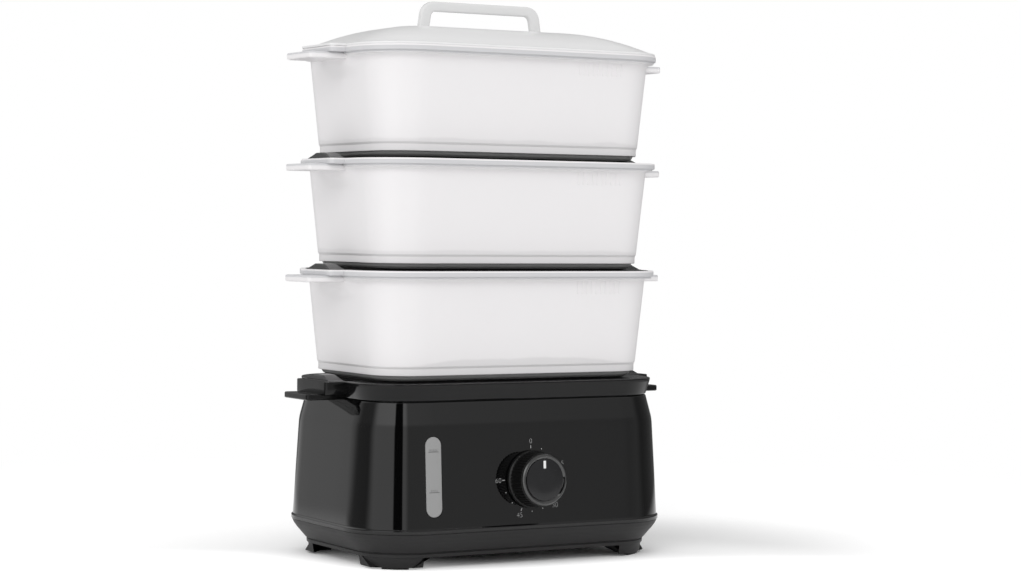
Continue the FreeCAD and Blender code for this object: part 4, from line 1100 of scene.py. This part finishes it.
@dataclass
class Basket:
    """Frosted wall of one tier with its rim band, end lobes, grips, swells and vent ribs."""

    plan: Plan
    tier: Tier
    depth: float = 82.4
    thickness: float = 2.2
    swell_reach: float = 8.0

    @property
    def rim(self) -> float:
        """The level of this tier's rim."""
        return TRAY_RIM + PITCH * (self.tier.value + 1)

    def side(self, depth: float) -> float:
        """Offset of the wall's outer face at a depth below the rim, on a straight line."""
        return -(4.9 + 0.107 * depth)

    def profile(self) -> list[Pair]:
        """The wall's section: up the outside, over the rim's land and ledge, down the inside.

        The steps are the depths at which the wall has a ring for its swells.

        Returns:
            Offset and level of each row.
        """
        rim, thick = self.rim, self.thickness
        low, chamfer = rim - self.depth, (77.0, 75.2)
        foot = self.side(chamfer[0]) - 0.8
        steps = (27, 25, 23, 21, 19, 17, 15, 13, 11, 9.5)
        outside = [(foot, low), (foot, rim - chamfer[0]),
                   (self.side(chamfer[1]), rim - chamfer[1])]
        outside += [(self.side(step), rim - step) for step in steps]
        outside += [(self.side(8), rim - 8), (-4.9, rim - 6.6), (0.0, rim - 6.4), (0.0, rim - 4.6),
                    (1.8, rim - 4.6), (1.8, rim), (-2.2, rim), (-2.2, rim - 2), (-5.0, rim - 2)]
        inside = [(self.side(8) - thick, rim - 8)]
        inside += [(self.side(step) - thick, rim - step) for step in reversed(steps)]
        inside += [(self.side(chamfer[1]) - thick, rim - chamfer[1] + 1),
                   (foot - thick, rim - chamfer[0] + 1), (foot - thick, low)]
        even = [0.0] * len(steps)
        radii = ([0.5, 1.0, 1.0] + even + [1.5, 0.3, 0.3, 0.2, 0.5, 0.7, 0.5, 0.3, 1.0, 3.0]
                 + even + [3.0, 2.0, 0.4])
        return rounded(outside + inside, radii, 4, closed=True)

    def swell(self, rows: np.ndarray) -> np.ndarray:
        """Pushes both end walls out below the grips, so that fingers find room behind them.

        A point moves by the swell times one fade down the wall and one along the end.

        Args:
            rows: the wall's rows.

        Returns:
            The same rows, with the end walls moved.
        """
        rim_band, end_from = 6.45, 100.0
        depth = self.rim - rows[:, :, 2]
        down = 1 - smooth((depth - 9.0) / 16.0)
        along = 1 - smooth((np.abs(rows[:, :, 1]) - 2.0) / 39.0)
        wall = (depth > rim_band) & (np.abs(rows[:, :, 0]) > end_from)
        push = np.where(wall, self.swell_reach * down * along, 0.0)
        rows[:, :, 0] += np.sign(rows[:, :, 0]) * push
        return rows

    def ribs(self, surface: Surface) -> None:
        """Short upright ribs on the front wall, under the rim near its right end.

        Each is a low block whose two ends run out into the wall.

        Args:
            surface: what they are added to.
        """
        first, apart, count = 48.0, 4.4, 10
        for index in range(count):
            x = first + apart * index
            rows = []
            for half, drop, out in ((0.25, 18.8, -0.5), (0.5, 18.2, 0.35), (0.5, 8.4, 0.35),
                                    (0.25, 7.9, -0.5)):
                y = -(self.plan.half_depth + self.side(drop) + out)
                rows.append([(x - half, y + 0.6, self.rim - drop), (x - half, y, self.rim - drop),
                             (x + half, y, self.rim - drop),
                             (x + half, y + 0.6, self.rim - drop)])
            surface.solid(np.array(rows, float))

    def build(self) -> None:
        """Makes the wall as one tube round the outline, and adds its ends."""
        name = self.tier.name.lower()
        rows = self.swell(self.plan.rows(self.profile()))
        seat = ((np.abs(rows[:, :, 1]) < self.plan.lobe_recess_half - 0.1)
                & (np.abs(rows[:, :, 0]) > 125.0))
        rows[:, :, 2] = np.where(seat, np.minimum(rows[:, :, 2], self.rim - 2.0),
                                 rows[:, :, 2])
        made = Surface().grid(rows, closed=True)
        self.ribs(made)
        for side in Side:
            self.plan.end_block(made, side, self.rim, self.rim - 4.6,
                                (self.rim - 9.8, self.rim - 4.5))
        made.piece("basket_%s_wall" % name, FROSTED, "basket_wall_" + name,
                   "basket_wall_" + name, sharp=35)


@dataclass
class DripTray:
    """Shallow gloss tray with a raised steam opening in its floor."""

    plan: Plan
    low: float = 131.8
    rim: float = TRAY_RIM
    seat: float = 132.5
    floor: float = 134.5
    opening: tuple[float, float, float] = (64.0, 27.0, 10.0)
    collar: tuple[float, float, float] = (66.0, 29.0, 12.0)
    collar_top: float = 139.3

    def build(self) -> None:
        """One closed tube: the rim's section, the floor, the collar and the underside."""
        columns = self.plan.columns()
        rim = self.rim
        section = [(-9.6, self.seat), (-9.6, self.low), (-3.9, self.low), (-0.5, rim - 2.6),
                   (0.0, rim), (-2.2, rim), (-2.2, rim - 2.0), (-5.0, rim - 2.0),
                   (-6.1, self.floor), (-10.0, self.floor)]
        radii = [0, 0.3, 1.4, 2.0, 0.9, 0.4, 0.3, 0.5, 1.0, 0]
        outer = self.plan.rows(rounded(section, radii, 4), columns)
        middle = []
        for plan, level in ((self.collar, self.floor), (self.collar, self.collar_top - 0.5),
                            (self.collar, self.collar_top - 0.05),
                            (self.opening, self.collar_top), (self.opening, self.seat)):
            flat = columns.ring(*plan)
            middle.append(np.column_stack([flat, np.full(len(flat), level)]))
        made = Surface().grid(np.concatenate([outer, np.array(middle)]), closed=True)
        for side in Side:
            self.plan.end_block(made, side, rim, self.low + 3.0, (130.6, 135.4), 151.5)
        made.piece("tray", TRAY_BLACK, "drip_tray", "drip_tray", sharp=40)


@dataclass
class BasketBase:
    """Dark base of one tier: flange, lobes with ears, flared neck, spigot and pierced floor."""

    plan: Plan
    tier: Tier
    hole_pitch: float = 13.0
    hole_radius: float = 3.0

    @property
    def rim(self) -> float:
        """The level of the rim that it sits on."""
        return TRAY_RIM + PITCH * self.tier.value

    def ear(self, surface: Surface, side: Side) -> None:
        """A low ridge on the lobe: its crest is flat and both of its ends fall off in curves.

        The crest's height is a share of the distance left to the end, cut off at one and raised
        to the power 0.8, less a slight droop.

        Args:
            surface: what it is added to.
            side: which short end.
        """
        near, far, sunk, half_width, height = 132.6, 145.6, -0.3, 21.0, 4.4
        rim, sign = self.rim + 0.2, side.value
        along = np.linspace(-1, 1, 33)
        crest = height * np.clip(1.55 - 1.55 * np.abs(along), 0, 1) ** 0.8
        crest = np.maximum(crest - 0.6 * np.clip(np.abs(along) - 0.3, 0, 1), 0.0)
        rows = []
        for y, high in zip(along * half_width, crest):
            soft = min(1.2, high * 0.5)
            line = [(near, sunk), (near, high - soft), (near + soft, high),
                    (far - soft, high), (far, high - soft), (far, sunk)]
            rows.append([(sign * x, y, rim + z) for x, z in line])
        made = np.array(rows, float)
        if side is Side.LEFT:
            made = made[:, ::-1]
        surface.solid(made[::-1])

    def floor_plate(self, half_x: float, half_y: float) -> Surface:
        """The pierced floor: square cells with a round hole, and plain cells round them.

        Each pierced cell is a ring of points between its square and its circle, on top and
        underneath, joined down the hole's side.

        Args:
            half_x: half the floor's length.
            half_y: half its width.

        Returns:
            The floor's cells.
        """
        made = Surface()
        rim, pitch, margin = self.rim, self.hole_pitch, 6
        low, high = 3.5, 5.5
        columns, rows = int((half_x - margin) // pitch), int((half_y - margin) // pitch)
        angle = np.linspace(0, 2 * math.pi, 16, endpoint=False)
        circle = np.column_stack([np.cos(angle), np.sin(angle)])
        square = circle / np.max(np.abs(circle), axis=1, keepdims=True) * pitch / 2
        hole = circle * self.hole_radius
        for i in range(-columns, columns + 1):
            for j in range(-rows, rows + 1):
                if abs(i) == columns and abs(j) == rows:
                    continue
                centre = (i * pitch, j * pitch)
                cell = [np.column_stack([flat + centre, np.full(16, rim + level)])
                        for flat, level in ((square, low), (square, high), (hole, high),
                                            (hole, low))]
                made.grid(np.array(cell), closed=True)
        return made

    def build(self) -> None:
        """Flange, neck and spigot as one tube round the outline, with the floor inside it."""
        name, rim = self.tier.name.lower(), self.rim
        section = [(-27.5, rim - 2.0), (-2.6, rim - 2.0), (-2.6, rim + 0.2), (-25.0, rim + 0.2),
                   (-20.5, rim + 1.6), (-17.5, rim + 3.4), (-16.5, rim + 5.7),
                   (-19.0, rim + 5.7), (-19.0, rim + 12.0), (-21.0, rim + 12.0),
                   (-21.0, rim + 5.5), (-26.0, rim + 5.5), (-26.0, rim + 3.5), (-22.0, rim + 3.5)]
        radii = [0.4, 0.4, 0.7, 1.0, 4.0, 3.0, 0.3, 0.3, 0.5, 0.5, 0.4, 0, 0, 0]
        made = Surface().grid(self.plan.rows(rounded(section, radii, 4, closed=True)), closed=True)
        for side in Side:
            made.solid(slab(11.0, 25.4, 4.0, soft_edges(rim - 2.0, rim + 0.2, 0.5),
                            (side.value * 135.4, 0), 8))
            self.ear(made, side)
        made.join(self.floor_plate(self.plan.half_length - 19, self.plan.half_depth - 19))
        made.piece("basket_%s_base" % name, BASE_BLACK, "basket_base_" + name,
                   "basket_base_" + name, sharp=38)


@dataclass
class Lid:
    """Domed lid with an overhanging flange, an inner skirt and a loop handle."""

    plan: Plan
    rim: float = 409.9
    thickness: float = 2.0
    rise: float = 17.5
    plateau: Pair = (68.0, 17.0)
    handle_half: float = 57.5
    handle_lean: float = 3.4
    handle_top: float = 451.4

    def dome(self, share: float, sink: float, columns: Columns) -> np.ndarray:
        """One ring of the dome.

        Half sides and corner shrink evenly with the share from the edge to the plateau, and the
        height is the rise times one minus the remaining share to the power 1.9.

        Args:
            share: 0 at the edge, 1 at the plateau.
            sink: how far the ring lies inside the outer face.
            columns: the outline's stations.

        Returns:
            The ring.
        """
        edge = (133.5 - sink, 85.0 - sink, 43.0 - sink)
        half_x = edge[0] + (self.plateau[0] - edge[0]) * share
        half_y = edge[1] + (self.plateau[1] - edge[1]) * share
        corner = edge[2] + (10.0 - edge[2]) * share
        flat = columns.ring(half_x, half_y, corner)
        level = self.rim + self.thickness + self.rise * (1 - (1 - share) ** 1.9) - sink
        return np.column_stack([flat, np.full(len(flat), level)])

    def shell(self) -> None:
        """Flange and dome as one surface, with the underside below it and the skirt."""
        columns = self.plan.columns()
        rim, thick = self.rim, self.thickness
        edge = rounded([(-9.6, rim - 15), (-9.6, rim), (1.0, rim), (1.0, rim + thick),
                        (-1.4, rim + thick)], [0, 0.6, 0.5, 0.8, 0], 4)
        low = self.plan.rows([(-11.2, rim - 14.6), (-10.9, rim - 15.0), (-9.9, rim - 15.0)]
                             + edge[1:-1], columns)
        shares = np.linspace(0.0, 1.0, 26)
        upper = np.array([self.dome(share, 0.0, columns) for share in shares])
        under = np.array([self.dome(share, thick, columns) for share in shares[::-1][:-3]])
        inner = self.plan.rows([(-11.2, rim + 3.5)], columns)
        top = np.concatenate([low, upper])
        made = Surface().grid(top, high_cap=True)
        made.grid(np.concatenate([under, inner, low[:1]]), low_cap=True)
        for side in Side:
            made.solid(slab(11.5, 28.4, 5.0, soft_edges(rim + 0.02, rim + thick, 0.6),
                            (side.value * 137.9, 0), 8))
        made.piece("lid_dome", LID_WHITE, "lid", "lid_shell", sharp=35)

    def handle(self) -> None:
        """Loop handle: a rounded section carried along a rounded path from foot to foot.

        The section's four edges are quarter circles; each of its points lies a share of the way
        in from the path's outer or inner line.
        """
        foot = self.rim + self.thickness + self.rise - 0.4
        reach, lean, top = self.handle_half, self.handle_lean, self.handle_top
        outer = rounded([(reach, foot), (reach - lean, top), (-reach + lean, top),
                         (-reach, foot)], [0, 12.0, 12.0, 0], 12, hold=0.6)
        inner = rounded([(reach - 9.2, foot), (reach - 9.2 - lean * 0.7, top - 8.0),
                         (-reach + 9.2 + lean * 0.7, top - 8.0), (-reach + 9.2, foot)],
                        [0, 4.5, 4.5, 0], 12, hold=0.6)
        outer_line, inner_line = np.array(outer), np.array(inner)
        half, soft = 3.0, 1.6
        bend = [step / 4 * math.pi / 2 for step in range(5)]
        edge = [(soft * (1 - math.cos(b)), half - soft * (1 - math.sin(b))) for b in bend]
        across = inner_line - outer_line
        inward = across / np.linalg.norm(across, axis=1, keepdims=True)
        loop = []
        for line, way, sign in ((outer_line, inward, 1), (inner_line, -inward, 1),
                                (inner_line, -inward, -1), (outer_line, inward, -1)):
            for inset, deep in edge:
                loop.append(np.column_stack([line + way * inset,
                                             np.full(len(line), sign * deep)]))
            edge = edge[::-1]
        grid = np.array(loop)[:, :, [0, 2, 1]].transpose(1, 0, 2)
        Surface().solid(grid).piece("lid_loop", HANDLE_WHITE, "lid", "lid_handle", sharp=50)

    def build(self) -> None:
        """Makes the lid's pieces."""
        self.shell()
        self.handle()


@dataclass
class Studio:
    """Pale floor, even white surroundings with one dark gap, a soft key light and the camera."""

    yaw: float = -30.146
    pitch: float = 1.357
    roll: float = 0.539
    focal_pixels: float = 2536.0
    width: int = 1021
    height: int = 575
    target: tuple[float, float, float] = (0.0, 0.0083, 0.2049)
    target_pixel: Pair = (477.15, 303.9)
    distance: float = 2.0926
    plain_level: float = 0.96
    floor_half: float = 9.0
    footprint: Pair = (0.17, 0.12)
    plain_from: Pair = (0.45, 0.9)
    lamp_place: tuple[float, float, float] = (-1.6, -1.8, 1.7)
    lamp_power: float = 16.0
    walls: tuple[tuple[float, Pair, Pair], ...] = (
        (0.15, (-2, -1), (85, 100)), (0.62, (85, 100), (130, 150)), (0.24, (130, 150), (172, 190)),
        (1.15, (172, 190), (225, 228)), (1.1, (242, 244), (247, 255)),
        (0.52, (247, 255), (298, 308)), (0.40, (298, 308), (325, 345)),
        (0.15, (325, 345), (361, 362)),
    )

    def camera(self) -> None:
        """The camera from the photograph's own perspective.

        It looks along a yaw and a pitch, turned by a roll, and stands so that the target lies at
        its pixel and its depth.
        """
        yaw, pitch, roll = (math.radians(v) for v in (self.yaw, self.pitch, self.roll))
        ahead = Vector((-math.sin(yaw) * math.cos(pitch), math.cos(yaw) * math.cos(pitch),
                        -math.sin(pitch)))
        right = Vector((math.cos(yaw), math.sin(yaw), 0))
        up = right.cross(ahead)
        across = right * math.cos(roll) + up * math.sin(roll)
        above = up * math.cos(roll) - right * math.sin(roll)
        shift_x = (self.target_pixel[0] - self.width / 2) / self.focal_pixels * self.distance
        shift_y = -(self.target_pixel[1] - self.height / 2) / self.focal_pixels * self.distance
        place = Vector(self.target) - ahead * self.distance - across * shift_x - above * shift_y
        data = bpy.data.cameras.new("camera")
        data.sensor_width = 36.0
        data.lens = self.focal_pixels / self.width * data.sensor_width
        data.clip_end = 30.0
        view = linked("camera", data)
        turn = Matrix((across, above, -ahead)).transposed().to_4x4()
        view.matrix_world = Matrix.Translation(place) @ turn
        bpy.context.scene.camera = view

    def rays(self, graph: Graph) -> tuple[Value, Value]:
        """Which kind of ray meets a surface of the stage.

        Args:
            graph: the material's or world's tree.

        Returns:
            1 where the camera or a clear thing looks, and 1 where a mirror looks.
        """
        path = graph.node("ShaderNodeLightPath")
        plain = Value(graph, path.outputs["Is Camera Ray"]).largest(
            Value(graph, path.outputs["Is Transmission Ray"]))
        return plain, Value(graph, path.outputs["Is Glossy Ray"])

    def panels(self, x: Value, y: Value) -> Value:
        """How bright the studio's walls look to a mirror, by their heading in plan.

        The heading is the angle in degrees, anticlockwise from +X. Each panel rises and falls
        smoothly at its own pair of headings.

        Args:
            x: the heading's share along +X.
            y: its share along +Y.

        Returns:
            The brightness.
        """
        heading = y.heading(x)
        level = 0.0
        for shine, rise, fall in self.walls:
            level = level + (heading.between(*rise) - heading.between(*fall)) * shine
        return level

    def floor(self) -> None:
        """A wide pale floor that keeps the shadow near the object and is plain white far off.

        The distance from the object is counted in sizes of its footprint. Beside it on the right
        the floor has a painted shadow, and in front of it a painted glow lifts it towards white.
        """
        mesh = bpy.data.meshes.new("floor")
        half, pale = self.floor_half, (0.8, 0.8, 0.8)
        mesh.from_pydata([(-half, -half, 0), (half, -half, 0), (half, half, 0), (-half, half, 0)],
                         [], [(0, 1, 2, 3)])
        floor = linked("floor", mesh)
        made = bpy.data.materials.new("floor_white")
        made.use_nodes = True
        graph = Graph(made.node_tree)
        plain, mirror = self.rays(graph)
        seen = plain.largest(mirror)
        x, y, _ = graph.parts(graph.place())
        shade = graph.blend(seen, pale, (1.0, 1.0, 1.0))
        across, along = x / self.footprint[0], y / self.footprint[1]
        apart = (across * across + along * along).root()
        # Painted shadow: beside the object on the right, near it, the floor is painted a darker
        # grey
        beside = (x * 0.86 + y * 0.5).between(0.1, 0.2) * (1.0 - apart.between(1.4, 2.4))
        shade = graph.blend(beside, shade, pale)
        matt = graph.node("ShaderNodeBsdfDiffuse", None, {"Color": shade})
        # Painted light: the floor glows in front of the object, lifting its shadow towards white,
        # and faintly all round further out
        ahead = (x * -0.5 - y * 0.86).between(-0.02, 0.1)
        lift = (apart.between(0.2, 1.3) * ahead * 0.66).largest(apart.between(0.9, 2.6) * 0.05)
        lifted = graph.node("ShaderNodeEmission", None, {"Strength": lift * plain})
        near = graph.node("ShaderNodeAddShader", None, {0: matt, 1: lifted})
        far_level = plain + mirror * self.panels(x, y)
        white = graph.node("ShaderNodeEmission", None, {"Strength": far_level})
        distance = (x * x + y * y).root()
        far = distance.between(*self.plain_from) * seen
        shader = graph.node("ShaderNodeMixShader", None, {0: far, 1: near, 2: white})
        graph.node("ShaderNodeOutputMaterial", None, {"Surface": shader})
        mesh.materials.append(made)

    def world(self) -> None:
        """White surroundings, in which a mirror sees the studio's bright walls and dim gaps."""
        world = bpy.data.worlds.new("studio")
        bpy.context.scene.world = world
        world.use_nodes = True
        graph = Graph(world.node_tree)
        plain, mirror = self.rays(graph)
        x, y, z = graph.parts(graph.node("ShaderNodeTexCoord").outputs["Generated"])
        high = z.between(0.6, 0.95)
        raised = z.between(0.2, 0.5) * 0.6 + 1.0
        mirrored = self.panels(x, y) * raised * (1.0 - high) + high * 0.5
        rest = 1.0 - plain
        strength = plain + rest * (mirror * mirrored + (1.0 - mirror) * self.plain_level)
        shader = graph.node("ShaderNodeBackground", None,
                            {"Color": (1.0, 1.0, 1.0), "Strength": strength})
        graph.node("ShaderNodeOutputWorld", None, {"Surface": shader})

    def lamps(self) -> None:
        """One large soft lamp, high in front on the left."""
        data = bpy.data.lights.new("key", "AREA")
        data.shape = "RECTANGLE"
        data.size = 1.6
        data.size_y = 1.2
        data.energy = self.lamp_power
        lamp = linked("key", data)
        lamp.visible_glossy = False
        lamp.location = self.lamp_place
        lamp.rotation_euler = (Vector((0, 0, 0.2)) - lamp.location).to_track_quat(
            "-Z", "Y").to_euler()

    def build(self) -> None:
        """Sets the stage."""
        self.camera()
        self.floor()
        self.world()
        self.lamps()
        bpy.context.scene.view_settings.view_transform = "Standard"


def dress_nodes(nodes: dict[str, bpy.types.Object]) -> None:
    """Gives every solid part its finish, also those that a piece stands for."""
    for name, piece in nodes.items():
        NODE_FINISH[name].dress(piece)


def main() -> None:
    """Builds the scene in order: stage, base, dial, baskets, lid."""
    logging.basicConfig(level=logging.INFO)
    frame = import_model()
    dress_nodes(frame["nodes"])
    Studio().build()
    plan = Plan()
    base = BaseUnit(plan)
    base.build()
    Dial(base).build()
    DripTray(plan).build()
    for tier in Tier:
        BasketBase(plan, tier).build()
        Basket(plan, tier).build()
    Lid(plan).build()
    bpy.context.view_layer.update()


if __name__ == "__main__":
    main()
